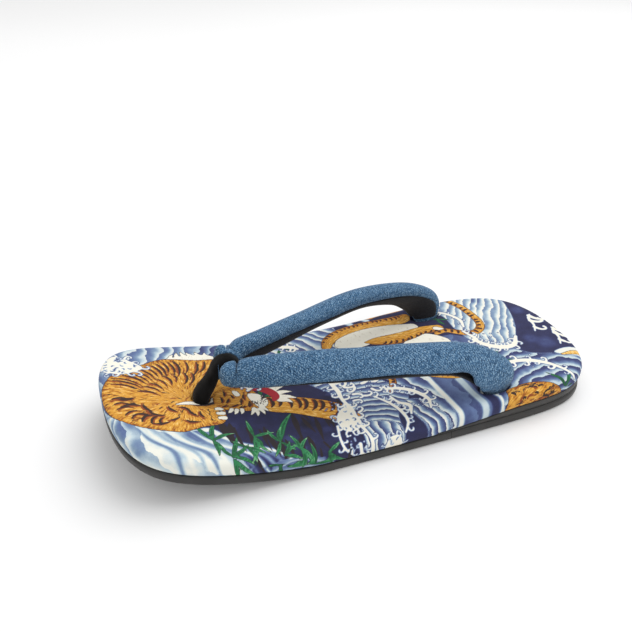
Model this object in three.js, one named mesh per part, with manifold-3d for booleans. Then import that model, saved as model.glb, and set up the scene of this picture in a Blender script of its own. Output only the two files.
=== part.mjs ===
// A flat zori sandal (setta): a fabric-wrapped board on a thin rubber sole,
// with a padded V strap held by a velvet toe thong.
// Millimetres. +X points to the toe, +Y to the outer side, +Z up.
// The origin is on the floor below the middle of the sole.

import * as THREE from 'three';
import { mergeVertices } from 'three/addons/utils/BufferGeometryUtils.js';
import Module from 'manifold-3d';

const wasm = await Module();
wasm.setup();

// ---------- driving sizes ----------

const GAP = 0.3;                 // clearance between touching pieces
const LENGTH = 260;
const HALF_LENGTH = LENGTH / 2;
const HALF_WIDTH = 50.7;         // at the middle of the length
const END_TAPER = 2.6;           // how much narrower the half width gets towards both ends
const TOE_SLANT = 2.4;           // the inner toe corner reaches further forward than the outer one

// Each end of the plan outline is a superellipse quarter.
const TOE = { sign: 1, squareness: 10.3, roundness: 2.5 };
const HEEL = { sign: -1, squareness: 9.3, roundness: 2.2 };
const CORNER_STEP = 6;           // degrees between outline stations round a corner
const CORNER_END = 84;
const SIDE_STATIONS = 6;         // stations from a corner's end to the middle of the side

const SPRING_START = 36;         // the sole is flat behind this x and rises in front of it
const TOE_SPRING = 20;
const SPRING_POWER = 1.5;

const OUTSOLE_THICKNESS = 4.9;
const OUTSOLE_JOINT_X = -30;     // the front outsole butts against the heel lift here
const HEEL_RISE = 4.2;           // extra height under the heel, wedge and its gap together
const WEDGE_FRONT_X = -22;
const WEDGE_FULL_X = -78;
const WEDGE_FRONT_RISE = 0.8;
const FOOTBED_THICKNESS = 8.4;

// How far each level of a layer's edge lies inside the outline.
// height is measured up from the layer's underside, or down from its top where from is 'top'.
const RUBBER_EDGE = [
  { from: 'bottom', height: 0.0, inset: 1.0 },
  { from: 'bottom', height: 0.9, inset: 0.2 },
  { from: 'bottom', height: 1.8, inset: 0.0 },
  { from: 'top', height: 1.4, inset: 0.0 },
  { from: 'top', height: 0.5, inset: 0.3 },
  { from: 'top', height: 0.0, inset: 1.1 },
];
const WEDGE_EDGE = [
  { from: 'bottom', height: 0.0, inset: 0.9 },
  { from: 'top', height: 0.0, inset: 0.6 },
];
const FOOTBED_EDGE = [
  { from: 'bottom', height: 0.0, inset: 1.6 },
  { from: 'bottom', height: 0.7, inset: 0.5 },
  { from: 'bottom', height: 2.2, inset: 0.1 },
  { from: 'top', height: 3.4, inset: 0.1 },
  { from: 'top', height: 1.9, inset: 0.6 },
  { from: 'top', height: 0.8, inset: 1.6 },
  { from: 'top', height: 0.2, inset: 3.0 },
  { from: 'top', height: 0.0, inset: 5.0 },
];

// The outer branch of the strap, from the toe thong back to its hole in the footbed.
// x, y, z: middle of the section. ax, ay, az: direction across the band, lower to upper edge.
const STRAP_SECTIONS = [
  { x: 70.9, y: 4.8, z: 34.7, ax: 0.20, ay: 0.00, az: 0.98, halfWidth: 7.3, halfThick: 4.9 },
  { x: 65.4, y: 7.0, z: 34.6, ax: 0.20, ay: -0.08, az: 0.97, halfWidth: 6.7, halfThick: 4.9 },
  { x: 60.0, y: 9.6, z: 36.0, ax: 0.20, ay: -0.15, az: 0.97, halfWidth: 8.1, halfThick: 5.0 },
  { x: 38.0, y: 16.2, z: 37.8, ax: 0.10, ay: -0.45, az: 0.88, halfWidth: 8.2, halfThick: 5.4 },
  { x: 12.0, y: 24.8, z: 39.6, ax: 0.10, ay: -0.70, az: 0.70, halfWidth: 8.2, halfThick: 5.7 },
  { x: -15.0, y: 32.2, z: 40.6, ax: 0.00, ay: -0.72, az: 0.68, halfWidth: 8.2, halfThick: 5.6 },
  { x: -38.0, y: 35.0, z: 37.6, ax: -0.25, ay: -0.55, az: 0.80, halfWidth: 8.6, halfThick: 5.3 },
  { x: -53.0, y: 38.0, z: 30.5, ax: -0.70, ay: -0.30, az: 0.65, halfWidth: 10.0, halfThick: 5.0 },
  { x: -61.0, y: 38.6, z: 22.5, ax: -1.00, ay: -0.10, az: 0.15, halfWidth: 10.2, halfThick: 5.0 },
  { x: -62.5, y: 36.5, z: 13.5, ax: -1.00, ay: 0.00, az: 0.00, halfWidth: 6.6, halfThick: 4.2 },
];
const STRAP_STEPS = 4;           // rings from one section to the next
const STRAP_SIDES = 20;
const STRAP_DOME = 4.4;          // length of the rounded front end
const STRAP_FULLNESS = 2.2;      // 2 is an ellipse, more is boxier

// The toe thong, in the middle plane: out of its hole, up in front of the strap,
// over it and down between its branches. across: half its width along Y.
const THONG_SECTIONS = [
  { x: 84.4, z: 16.6, halfWidth: 4.2, halfThick: 3.0 },
  { x: 84.2, z: 20.6, halfWidth: 4.8, halfThick: 3.9 },
  { x: 82.7, z: 24.0, halfWidth: 4.9, halfThick: 3.8 },
  { x: 79.8, z: 28.0, halfWidth: 4.7, halfThick: 3.2 },
  { x: 77.1, z: 33.0, halfWidth: 4.6, halfThick: 2.6 },
  { x: 75.6, z: 37.0, halfWidth: 4.4, halfThick: 2.2 },
  { x: 73.4, z: 39.6, halfWidth: 4.2, halfThick: 1.9 },
  { x: 70.0, z: 40.3, halfWidth: 3.9, halfThick: 1.8 },
  { x: 66.8, z: 38.6, halfWidth: 3.4, halfThick: 1.8 },
  { x: 65.0, z: 35.6, halfWidth: 2.8, halfThick: 1.8 },
  { x: 64.3, z: 32.4, halfWidth: 2.2, halfThick: 1.7 },
];
const THONG_STEPS = 3;
const THONG_SIDES = 16;
const THONG_FULLNESS = 3;

const CUTTER_SIZE = 400;         // larger than the whole sandal

// ---------- the sandal's form ----------

function halfWidthAt(u) {
  const end = u >= 0 ? TOE : HEEL;
  const corner = (1 - Math.abs(u) ** end.squareness) ** (1 / end.roundness);
  return (HALF_WIDTH - END_TAPER * u * u) * corner;
}

// Stations of one end from its tip to the middle, close together round the corner.
function endStations(end) {
  const stations = [];
  for (let angle = 0; angle <= CORNER_END; angle += CORNER_STEP) {
    const cosine = Math.cos(THREE.MathUtils.degToRad(angle));
    stations.push(cosine ** (2 / end.squareness));
  }
  const last = stations.at(-1);
  for (let step = 1; step < SIDE_STATIONS; step += 1) {
    stations.push(last * (1 - step / SIDE_STATIONS));
  }
  return stations.map((u) => u * end.sign);
}

// The plan outline, once round: toe tip, outer side, heel tip, inner side.
function planOutline() {
  const wedgeStep = [WEDGE_FRONT_X + GAP, WEDGE_FRONT_X].map((x) => x / HALF_LENGTH);
  const outerSide = [...endStations(TOE), 0, ...endStations(HEEL), ...wedgeStep];
  outerSide.sort((a, b) => b - a);
  const point = (u, side) => {
    const y = side * halfWidthAt(u);
    const slant = u > 0 ? TOE_SLANT * u ** 3 * (y / HALF_WIDTH) : 0;
    return new THREE.Vector2(u * HALF_LENGTH - slant, y);
  };
  const outer = outerSide.map((u) => point(u, 1));
  const inner = outerSide.slice(1, -1).reverse().map((u) => point(u, -1));
  return [...outer, ...inner];
}

function insetOutline(outline, inset) {
  return outline.map((point, index) => {
    const before = outline.at(index - 1);
    const after = outline[(index + 1) % outline.length];
    const along = after.clone().sub(before).normalize();
    return new THREE.Vector2(point.x - along.y * inset, point.y + along.x * inset);
  });
}

function soleUnderside(x) {
  const run = Math.max(0, x - SPRING_START) / (HALF_LENGTH - SPRING_START);
  return TOE_SPRING * run ** SPRING_POWER;
}

function outsoleTop(x) {
  return soleUnderside(x) + OUTSOLE_THICKNESS;
}

function wedgeRise(x) {
  const along = THREE.MathUtils.smoothstep(-x, -WEDGE_FRONT_X, -WEDGE_FULL_X);
  return THREE.MathUtils.lerp(WEDGE_FRONT_RISE, HEEL_RISE, along);
}

// The footbed's underside steps up by the wedge's front edge, then follows the wedge.
function footbedUnderside(x) {
  const step = THREE.MathUtils.clamp((WEDGE_FRONT_X + GAP - x) / GAP, 0, 1);
  return outsoleTop(x) + GAP + wedgeRise(x) * step;
}

function footbedTop(x) {
  const riseStart = WEDGE_FRONT_X + LENGTH / 10;
  const along = THREE.MathUtils.smoothstep(-x, -riseStart, -WEDGE_FULL_X);
  return outsoleTop(x) + GAP + HEEL_RISE * along + FOOTBED_THICKNESS;
}

// ---------- meshes and solids ----------

// Closes a stack of rings into one body. A ring's point i and point n - i face each other
// across the middle line, so the end faces are strips from side to side.
function skin(rings) {
  const count = rings[0].length;
  const positions = rings.flat().flatMap((point) => [point.x, point.y, point.z]);
  const index = [];
  for (let ring = 0; ring < rings.length - 1; ring += 1) {
    for (let i = 0; i < count; i += 1) {
      const next = (i + 1) % count;
      const low = ring * count;
      const high = low + count;
      index.push(low + i, low + next, high + next, low + i, high + next, high + i);
    }
  }
  const top = (rings.length - 1) * count;
  for (let i = 0; i < count / 2; i += 1) {
    const across = (count - i) % count;
    const acrossNext = count - i - 1;
    index.push(i, acrossNext, i + 1, top + i, top + i + 1, top + acrossNext);
    if (across !== i) {
      index.push(i, across, acrossNext, top + i, top + acrossNext, top + across);
    }
  }
  const geometry = new THREE.BufferGeometry();
  geometry.setAttribute('position', new THREE.Float32BufferAttribute(positions, 3));
  geometry.setIndex(index);
  return geometry;
}

function toSolid(geometry) {
  const bare = geometry.clone();
  bare.deleteAttribute('normal');
  bare.deleteAttribute('uv');
  const merged = mergeVertices(bare);
  const vertProperties = new Float32Array(merged.getAttribute('position').array);
  const triVerts = new Uint32Array(merged.getIndex().array);
  return new wasm.Manifold(new wasm.Mesh({ numProp: 3, vertProperties, triVerts }));
}

function toGeometry(solid) {
  const mesh = solid.getMesh();
  const geometry = new THREE.BufferGeometry();
  geometry.setAttribute('position', new THREE.BufferAttribute(mesh.vertProperties, 3));
  geometry.setIndex(new THREE.BufferAttribute(mesh.triVerts, 1));
  return geometry;
}

// A layer of the sole: rings of the plan outline, one for each level of the edge table.
function layer(underside, top, edge) {
  const outline = planOutline();
  const rings = edge.map((level) => {
    const loop = insetOutline(outline, level.inset);
    return loop.map(({ x, y }) => {
      const z = level.from === 'top' ? top(x) - level.height : underside(x) + level.height;
      return new THREE.Vector3(x, y, z);
    });
  });
  return toSolid(skin(rings));
}

// A box that covers everything in front of x, or behind it.
function halfSpace(x, direction) {
  const box = new THREE.BoxGeometry(CUTTER_SIZE, CUTTER_SIZE, CUTTER_SIZE);
  box.translate(x + direction * CUTTER_SIZE / 2, 0, 0);
  return toSolid(box);
}

// Smooth rows between the rows of a section table, by uniform Catmull-Rom interpolation.
function refine(sections, steps) {
  const mirrored = (end, inner) =>
    Object.fromEntries(Object.keys(end).map((key) => [key, 2 * end[key] - inner[key]]));
  const rows = [
    mirrored(sections[0], sections[1]),
    ...sections,
    mirrored(sections.at(-1), sections.at(-2)),
  ];
  const blend = (key, i, t) => {
    const [a, b, c, d] = [0, 1, 2, 3].map((offset) => rows[i + offset][key]);
    const linear = (c - a) * t;
    const square = (2 * a - 5 * b + 4 * c - d) * t * t;
    const cube = (3 * b - a - 3 * c + d) * t * t * t;
    return (2 * b + linear + square + cube) / 2;
  };
  const refined = [];
  for (let i = 0; i < sections.length - 1; i += 1) {
    for (let step = 0; step < steps; step += 1) {
      const keys = Object.keys(sections[0]);
      refined.push(Object.fromEntries(keys.map((key) => [key, blend(key, i, step / steps)])));
    }
  }
  refined.push(sections.at(-1));
  return refined;
}

// One ring round a band: a superellipse spanned by the across and through directions.
function bandRing(centre, across, through, halfWidth, halfThick, sides, fullness) {
  const ring = [];
  for (let i = 0; i < sides; i += 1) {
    const angle = (2 * Math.PI * i) / sides;
    const bulge = (value) => Math.sign(value) * Math.abs(value) ** (2 / fullness);
    const width = halfWidth * bulge(Math.cos(angle));
    const thick = halfThick * bulge(Math.sin(angle));
    ring.push(centre.clone().addScaledVector(across, width).addScaledVector(through, thick));
  }
  return ring;
}

// The rings of a band, with grow added all round and the band made longer by grow at its end.
function bandRings(rows, sides, fullness, grow) {
  const centres = rows.map((row) => new THREE.Vector3(row.x, row.y, row.z));
  return rows.map((row, i) => {
    const before = centres[Math.max(i - 1, 0)];
    const after = centres[Math.min(i + 1, rows.length - 1)];
    const along = after.clone().sub(before).normalize();
    const across = new THREE.Vector3(row.ax, row.ay, row.az);
    across.addScaledVector(along, -across.dot(along)).normalize();
    const through = new THREE.Vector3().crossVectors(along, across);
    const centre = centres[i].clone();
    if (i === rows.length - 1) {
      centre.addScaledVector(along, grow);
    }
    const halfWidth = row.halfWidth + grow;
    const halfThick = row.halfThick + grow;
    return bandRing(centre, across, through, halfWidth, halfThick, sides, fullness);
  });
}

// Rings that round off the band's first end, from its tip to its first full section.
function domeRings(firstRing, along, length) {
  const middle = new THREE.Vector3();
  firstRing.forEach((point) => middle.addScaledVector(point, 1 / firstRing.length));
  return [80, 60, 40, 20].map((degrees) => {
    const angle = THREE.MathUtils.degToRad(degrees);
    return firstRing.map((point) =>
      point.clone().sub(middle).multiplyScalar(Math.cos(angle)).add(middle)
        .addScaledVector(along, -length * Math.sin(angle)));
  });
}

function strapBranch(side, grow) {
  const rows = refine(STRAP_SECTIONS, STRAP_STEPS);
  const rings = bandRings(rows, STRAP_SIDES, STRAP_FULLNESS, grow);
  const along = new THREE.Vector3(rows[1].x - rows[0].x, rows[1].y - rows[0].y, rows[1].z - rows[0].z);
  const all = [...domeRings(rings[0], along.normalize(), STRAP_DOME + grow), ...rings];
  if (side < 0) {
    all.forEach((ring) => ring.forEach((point) => point.setY(-point.y)));
    all.forEach((ring) => ring.reverse());
    all.forEach((ring) => ring.unshift(ring.pop()));
  }
  return toSolid(skin(all));
}

function strapSolid(grow) {
  return strapBranch(1, grow).add(strapBranch(-1, grow));
}

function thongBand(grow) {
  const rows = refine(THONG_SECTIONS, THONG_STEPS).map((row) =>
    ({ ...row, y: 0, ax: 0, ay: 1, az: 0 }));
  rows.reverse();
  return toSolid(skin(bandRings(rows, THONG_SIDES, THONG_FULLNESS, grow)));
}

// ---------- sub-parts ----------

const outsole = layer(soleUnderside, outsoleTop, RUBBER_EDGE);
const outsoleFore = outsole.intersect(halfSpace(OUTSOLE_JOINT_X + GAP / 2, 1));
const heelLift = outsole.intersect(halfSpace(OUTSOLE_JOINT_X - GAP / 2, -1));

const wedgeUnderside = (x) => outsoleTop(x) + GAP;
const wedgeTop = (x) => outsoleTop(x) + wedgeRise(x);
const heelWedge = layer(wedgeUnderside, wedgeTop, WEDGE_EDGE)
  .intersect(halfSpace(WEDGE_FRONT_X - GAP, -1));

const strap = strapSolid(0);
const toeThong = thongBand(0).subtract(strapSolid(GAP));
const footbed = layer(footbedUnderside, footbedTop, FOOTBED_EDGE)
  .subtract(strapSolid(GAP))
  .subtract(thongBand(GAP));

function part(name, solid, color, roughness) {
  const material = new THREE.MeshStandardMaterial({ color, roughness, metalness: 0 });
  const mesh = new THREE.Mesh(toGeometry(solid), material);
  mesh.name = name;
  return mesh;
}

const sandal = new THREE.Group();
sandal.add(
  part('outsole_fore', outsoleFore, 0x232222, 0.6),
  part('heel_lift', heelLift, 0x232222, 0.6),
  part('heel_wedge', heelWedge, 0x2a2929, 0.55),
  part('footbed', footbed, 0x6f7fae, 0.75),
  part('strap', strap, 0x4f7ba3, 0.9),
  part('toe_thong', toeThong, 0x121214, 0.95),
);

export default sandal;
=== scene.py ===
import math

import bmesh
import bpy
import numpy as np
from mathutils import Matrix, Vector


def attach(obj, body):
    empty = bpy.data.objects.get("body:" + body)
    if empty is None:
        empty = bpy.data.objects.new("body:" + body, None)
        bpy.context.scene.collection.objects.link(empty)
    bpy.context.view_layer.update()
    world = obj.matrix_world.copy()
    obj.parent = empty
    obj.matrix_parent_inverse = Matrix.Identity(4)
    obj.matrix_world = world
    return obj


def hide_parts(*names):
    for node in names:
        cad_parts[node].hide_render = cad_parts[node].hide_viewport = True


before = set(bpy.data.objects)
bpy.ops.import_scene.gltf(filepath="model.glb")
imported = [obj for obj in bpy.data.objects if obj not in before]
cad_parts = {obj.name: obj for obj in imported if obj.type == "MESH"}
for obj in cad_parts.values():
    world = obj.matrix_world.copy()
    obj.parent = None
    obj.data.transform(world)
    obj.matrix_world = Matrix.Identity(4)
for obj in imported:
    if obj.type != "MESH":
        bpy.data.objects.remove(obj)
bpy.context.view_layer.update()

MM = 0.001
rng = np.random.default_rng(11)

# ---------- the sandal's sizes, in millimetres, as in the CAD ----------

HALF_LENGTH = 130
HALF_WIDTH = 50.7
END_TAPER = 2.6
TOE_SLANT = 2.4
TOE = {"sign": 1, "squareness": 10.3, "roundness": 2.5}
HEEL = {"sign": -1, "squareness": 9.3, "roundness": 2.2}
SPRING_START = 36
TOE_SPRING = 20
SPRING_POWER = 1.5
GAP = 0.3
OUTSOLE_THICKNESS = 4.9
OUTSOLE_JOINT_X = -30
HEEL_RISE = 4.2
WEDGE_FRONT_X = -22
WEDGE_FULL_X = -78
WEDGE_FRONT_RISE = 0.8
FOOTBED_THICKNESS = 8.4
RISE_START_X = 4

# One branch of the strap, from its point to its hole: the section's middle (x, y, z), the direction
# across the band (x, y, z), half width, half thickness, and the angles of the lining's two seams.
# Middles and half sizes from x = 60 on were smoothed from a least-squares fit to the strap's
# edges. The first two rows, the directions and the seams were set one by one.
STRAP_SECTIONS = np.array([
    [70.9, 4.8, 34.7, 0.20, 0.00, 0.98, 7.3, 4.9, 166, 262],
    [65.4, 7.0, 34.6, 0.20, -0.08, 0.97, 6.7, 4.9, 164, 264],
    [60.0, 9.6, 36.0, 0.20, -0.15, 0.97, 8.1, 5.0, 162, 274],
    [38.0, 16.2, 37.8, 0.10, -0.45, 0.88, 8.2, 5.4, 158, 292],
    [12.0, 24.8, 39.6, 0.10, -0.70, 0.70, 8.2, 5.7, 156, 299],
    [-15.0, 32.2, 40.6, 0.00, -0.72, 0.68, 8.2, 5.6, 158, 299],
    [-38.0, 35.0, 37.6, -0.25, -0.55, 0.80, 8.6, 5.3, 168, 300],
    [-53.0, 38.0, 30.5, -0.70, -0.30, 0.65, 10.0, 5.0, 186, 305],
    [-61.0, 38.6, 22.5, -1.00, -0.10, 0.15, 10.2, 5.0, 190, 312],
    [-62.5, 36.5, 13.5, -1.00, 0.00, 0.00, 6.6, 4.2, 190, 312],
])
STRAP_DOME = 4.4
STRAP_FULLNESS = 2.2
STRAP_HOLE = (-61.6, 37.4)
STRAP_HOLE_HALF = (9.2, 5.4)
STRAP_STEPS = 34

# The thong, from its hole up and back over the strap's point: x, z, half width, half thickness.
THONG_SECTIONS = np.array([
    [84.4, 16.6, 4.2, 3.0],
    [84.2, 20.6, 4.8, 3.9],
    [82.7, 24.0, 4.9, 3.8],
    [79.8, 28.0, 4.7, 3.2],
    [77.1, 33.0, 4.6, 2.6],
    [75.6, 37.0, 4.4, 2.2],
    [73.4, 39.6, 4.2, 1.9],
    [70.0, 40.3, 3.9, 1.8],
    [66.8, 38.6, 3.4, 1.8],
    [65.0, 35.6, 2.8, 1.8],
    [64.3, 32.4, 2.2, 1.7],
])
THONG_HOLE = (84.4, 0.0)
THONG_HOLE_HALF = (4.5, 5.3)
THONG_STEPS = 8
THONG_SIDES = 64
THONG_FULLNESS = 2.7
THONG_TIP = 1.6

# ---------- the sole's form ----------


def smoothstep(value, low, high):
    t = np.clip((value - low) / (high - low), 0, 1)
    return t * t * (3 - 2 * t)


def sole_underside(x):
    run = np.clip((x - SPRING_START) / (HALF_LENGTH - SPRING_START), 0, None)
    return TOE_SPRING * run ** SPRING_POWER


def outsole_top(x):
    return sole_underside(x) + OUTSOLE_THICKNESS


def wedge_rise(x):
    along = smoothstep(-x, -WEDGE_FRONT_X, -WEDGE_FULL_X)
    return WEDGE_FRONT_RISE + (HEEL_RISE - WEDGE_FRONT_RISE) * along


def wedge_underside(x):
    return outsole_top(x) + GAP / 2


def wedge_top(x):
    return outsole_top(x) + wedge_rise(x)


def footbed_underside(x):
    step = np.clip((WEDGE_FRONT_X + GAP - x) / GAP, 0, 1)
    return outsole_top(x) + GAP / 2 + wedge_rise(x) * step


def footbed_top(x):
    return outsole_top(x) + GAP + HEEL_RISE * smoothstep(-x, -RISE_START_X, -WEDGE_FULL_X) + FOOTBED_THICKNESS


def plan_points(u, side):
    square = np.where(u >= 0, TOE["squareness"], HEEL["squareness"])
    rounded = np.where(u >= 0, TOE["roundness"], HEEL["roundness"])
    corner = np.clip(1 - np.abs(u) ** square, 0, 1) ** (1 / rounded)
    y = side * (HALF_WIDTH - END_TAPER * u * u) * corner
    slant = TOE_SLANT * np.clip(u, 0, 1) ** 3 * y / HALF_WIDTH
    return np.stack([u * HALF_LENGTH - slant, y], 1)


def end_angles(end, first, last):
    """Stations along one end's outline, by the angle round its corner."""
    angles = np.radians(np.linspace(first, last, 120))
    return end["sign"] * np.cos(angles) ** (2 / end["squareness"])


def resample(points, count):
    step = np.linalg.norm(np.diff(points, axis=0), axis=1)
    along = np.concatenate([[0], np.cumsum(step)])
    at = np.linspace(0, along[-1], count + 1)
    return np.stack([np.interp(at, along, column) for column in points.T], 1)


def side_line(side, count):
    """The outline's long side, from the heel corner to the toe corner."""
    heel = end_angles(HEEL, 45, 86)
    toe = end_angles(TOE, 86, 45)
    between = np.linspace(heel[-1], toe[0], 60)[1:-1]
    return resample(plan_points(np.concatenate([heel, between, toe]), side), count)


def end_line(end, count):
    """The outline's short end, from its inner corner to its outer corner."""
    inner = plan_points(end_angles(end, 45, 0), -1)
    outer = plan_points(end_angles(end, 0, 45), 1)
    return resample(np.concatenate([inner, outer[1:]]), count)


class Outline:
    """The plan outline once round: inner side to the toe, toe end, outer side back, heel end."""

    def __init__(self, along, across):
        self.along = along
        self.across = across
        inner, outer = side_line(-1, along), side_line(1, along)
        heel, toe = end_line(HEEL, across), end_line(TOE, across)
        self.loop = np.concatenate([inner[:-1], toe[:-1], outer[:0:-1], heel[:0:-1]])
        tangent = np.roll(self.loop, -1, 0) - np.roll(self.loop, 1, 0)
        tangent /= np.linalg.norm(tangent, axis=1)[:, None]
        self.normal = np.stack([tangent[:, 1], -tangent[:, 0]], 1)

    def ring(self, inset):
        return self.loop - self.normal * inset

    def sides(self, ring):
        """A ring as the four lines of a patch: inner, outer, heel, toe."""
        a, b = self.along, self.across
        inner = ring[: a + 1]
        toe = ring[a : a + b + 1]
        outer = ring[a + b : 2 * a + b + 1][::-1]
        heel = np.concatenate([ring[2 * a + b :], ring[:1]])[::-1]
        return inner, outer, heel, toe


def coons_patch(inner, outer, heel, toe):
    """A grid between four boundary lines, [along, across]."""
    a = np.linspace(0, 1, len(inner))[:, None, None]
    b = np.linspace(0, 1, len(heel))[None, :, None]
    ruled = (1 - b) * inner[:, None] + b * outer[:, None] + (1 - a) * heel[None] + a * toe[None]
    corners = (1 - a) * ((1 - b) * inner[0] + b * outer[0]) + a * ((1 - b) * inner[-1] + b * outer[-1])
    return ruled - corners


# ---------- mesh helpers ----------


def make_object(name, points_mm, faces, materials, smooth=True):
    mesh = bpy.data.meshes.new(name)
    mesh.from_pydata((np.asarray(points_mm) * MM).tolist(), [], faces)
    mesh.validate()
    if smooth:
        mesh.polygons.foreach_set("use_smooth", [True] * len(mesh.polygons))
    piece = bpy.data.objects.new(name, mesh)
    bpy.context.scene.collection.objects.link(piece)
    for material in materials:
        mesh.materials.append(material)
    return piece


def add_field(piece, name, values):
    kind = "FLOAT" if np.ndim(values) == 1 else "FLOAT_VECTOR"
    attribute = piece.data.attributes.new(name, kind, "POINT")
    key = "value" if kind == "FLOAT" else "vector"
    attribute.data.foreach_set(key, np.asarray(values, np.float32).ravel())


def ring_faces(low, high, flip=False):
    """Quads between two rings of vertex numbers."""
    quads = np.stack([low, np.roll(low, -1), np.roll(high, -1), high], 1)
    return (quads[:, ::-1] if flip else quads).tolist()


def strip_cap(ring, tip, flip=False):
    """Closes a ring with strips from side to side; tip is the place in it where they start."""
    count = len(ring)
    order = np.roll(ring, -tip)
    faces = []
    for i in range(count // 2):
        face = [order[i], order[i + 1], order[count - i - 1], order[(count - i) % count]]
        face = list(dict.fromkeys(int(v) for v in face))
        if len(face) > 2:
            faces.append(face[::-1] if flip else face)
    return faces


def fix_normals(piece):
    bm = bmesh.new()
    bm.from_mesh(piece.data)
    bmesh.ops.recalc_face_normals(bm, faces=bm.faces)
    bm.to_mesh(piece.data)
    bm.free()


def cut_mesh(piece, x_mm, keep_front):
    """Cuts a closed mesh at an x plane and closes the cut."""
    bm = bmesh.new()
    bm.from_mesh(piece.data)
    geometry = bm.verts[:] + bm.edges[:] + bm.faces[:]
    cut = bmesh.ops.bisect_plane(
        bm, geom=geometry, plane_co=(x_mm * MM, 0, 0), plane_no=(1, 0, 0),
        clear_inner=keep_front, clear_outer=not keep_front,
    )
    edges = [item for item in cut["geom_cut"] if isinstance(item, bmesh.types.BMEdge)]
    bmesh.ops.holes_fill(bm, edges=edges, sides=0)
    bmesh.ops.recalc_face_normals(bm, faces=bm.faces)
    bm.to_mesh(piece.data)
    bm.free()


# ---------- shader helpers ----------


class Shader:
    """A node material, built by small calls that return output sockets."""

    def __init__(self, name):
        self.material = bpy.data.materials.new(name)
        self.material.use_nodes = True
        self.tree = self.material.node_tree
        self.bsdf = self.tree.nodes["Principled BSDF"]

    def node(self, kind, inputs=None, **settings):
        node = self.tree.nodes.new("ShaderNode" + kind)
        for key, value in settings.items():
            setattr(node, key, value)
        for key, value in (inputs or {}).items():
            self.put(node.inputs[key], value)
        return node

    def put(self, socket, value):
        if isinstance(value, bpy.types.NodeSocket):
            self.tree.links.new(value, socket)
        else:
            socket.default_value = value

    def math(self, operation, a, b=0.0, c=0.0):
        return self.node("Math", {0: a, 1: b, 2: c}, operation=operation).outputs[0]

    def mix(self, factor, a, b, blend="MIX"):
        node = self.node("Mix", data_type="RGBA", blend_type=blend)
        self.put(node.inputs["Factor"], factor)
        self.put(node.inputs[6], a)
        self.put(node.inputs[7], b)
        return node.outputs[2]

    def ramp(self, value, stops, interpolation="LINEAR"):
        node = self.node("ValToRGB", {0: value})
        node.color_ramp.interpolation = interpolation
        elements = node.color_ramp.elements
        while len(elements) < len(stops):
            elements.new(0.5)
        for element, (position, colour) in zip(elements, stops):
            element.position = position
            element.color = colour if len(colour) == 4 else (*colour, 1)
        return node.outputs["Color"]

    def field(self, name, output="Fac"):
        return self.node("Attribute", attribute_name=name).outputs[output]

    def place(self):
        return self.node("TexCoord").outputs["Object"]

    def noise(self, vector, scale, detail=3.0, roughness=0.5, distortion=0.0):
        inputs = {"Vector": vector, "Scale": scale, "Detail": detail,
                  "Roughness": roughness, "Distortion": distortion}
        return self.node("TexNoise", inputs).outputs[0]

    def scaled(self, vector, x, y, z, turn=0.0):
        inputs = {"Vector": vector, "Scale": (x, y, z), "Rotation": (0, 0, turn)}
        return self.node("Mapping", inputs).outputs[0]

    def wave(self, vector, scale, distortion=0.0, detail=0.0, direction="X", profile="SIN"):
        inputs = {"Vector": vector, "Scale": scale, "Distortion": distortion, "Detail": detail}
        return self.node("TexWave", inputs, bands_direction=direction, wave_profile=profile).outputs["Fac"]

    def inside(self, distance, soft=0.12):
        """1 where a distance in millimetres is negative, 0 where it is positive."""
        inputs = {"Value": distance, "From Min": soft, "From Max": -soft, "To Min": 0.0, "To Max": 1.0}
        return self.node("MapRange", inputs, clamp=True).outputs[0]

    def bump(self, height, strength, distance, normal=None):
        inputs = {"Height": height, "Strength": strength, "Distance": distance}
        if normal is not None:
            inputs["Normal"] = normal
        return self.node("Bump", inputs).outputs[0]

    def finish(self, colour, roughness, normal=None, **constants):
        self.put(self.bsdf.inputs["Base Color"], colour)
        self.put(self.bsdf.inputs["Roughness"], roughness)
        if normal is not None:
            self.put(self.bsdf.inputs["Normal"], normal)
        for key, value in constants.items():
            self.bsdf.inputs[key.replace("_", " ")].default_value = value
        return self.material


def rubber_material(name, dark, light):
    s = Shader(name)
    place = s.place()
    mottle = s.noise(place, 60, 4)
    grain = s.noise(place, 2600, 2)
    colour = s.ramp(mottle, [(0.3, dark), (0.75, light)])
    dust = s.noise(place, 240, 5, 0.7)
    dusty = s.ramp(dust, [(0.62, (0, 0, 0)), (0.85, (0.18, 0.18, 0.18))])
    colour = s.mix(dusty, colour, (0.16, 0.155, 0.15, 1))
    roughness = s.ramp(s.noise(place, 35, 3), [(0.3, (0.42,) * 3), (0.7, (0.6,) * 3)])
    height = s.math("ADD", s.math("MULTIPLY", grain, 0.35), s.noise(place, 420, 3))
    return s.finish(colour, roughness, s.bump(height, 0.25, 0.0003), Specular_IOR_Level=0.45)


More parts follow.
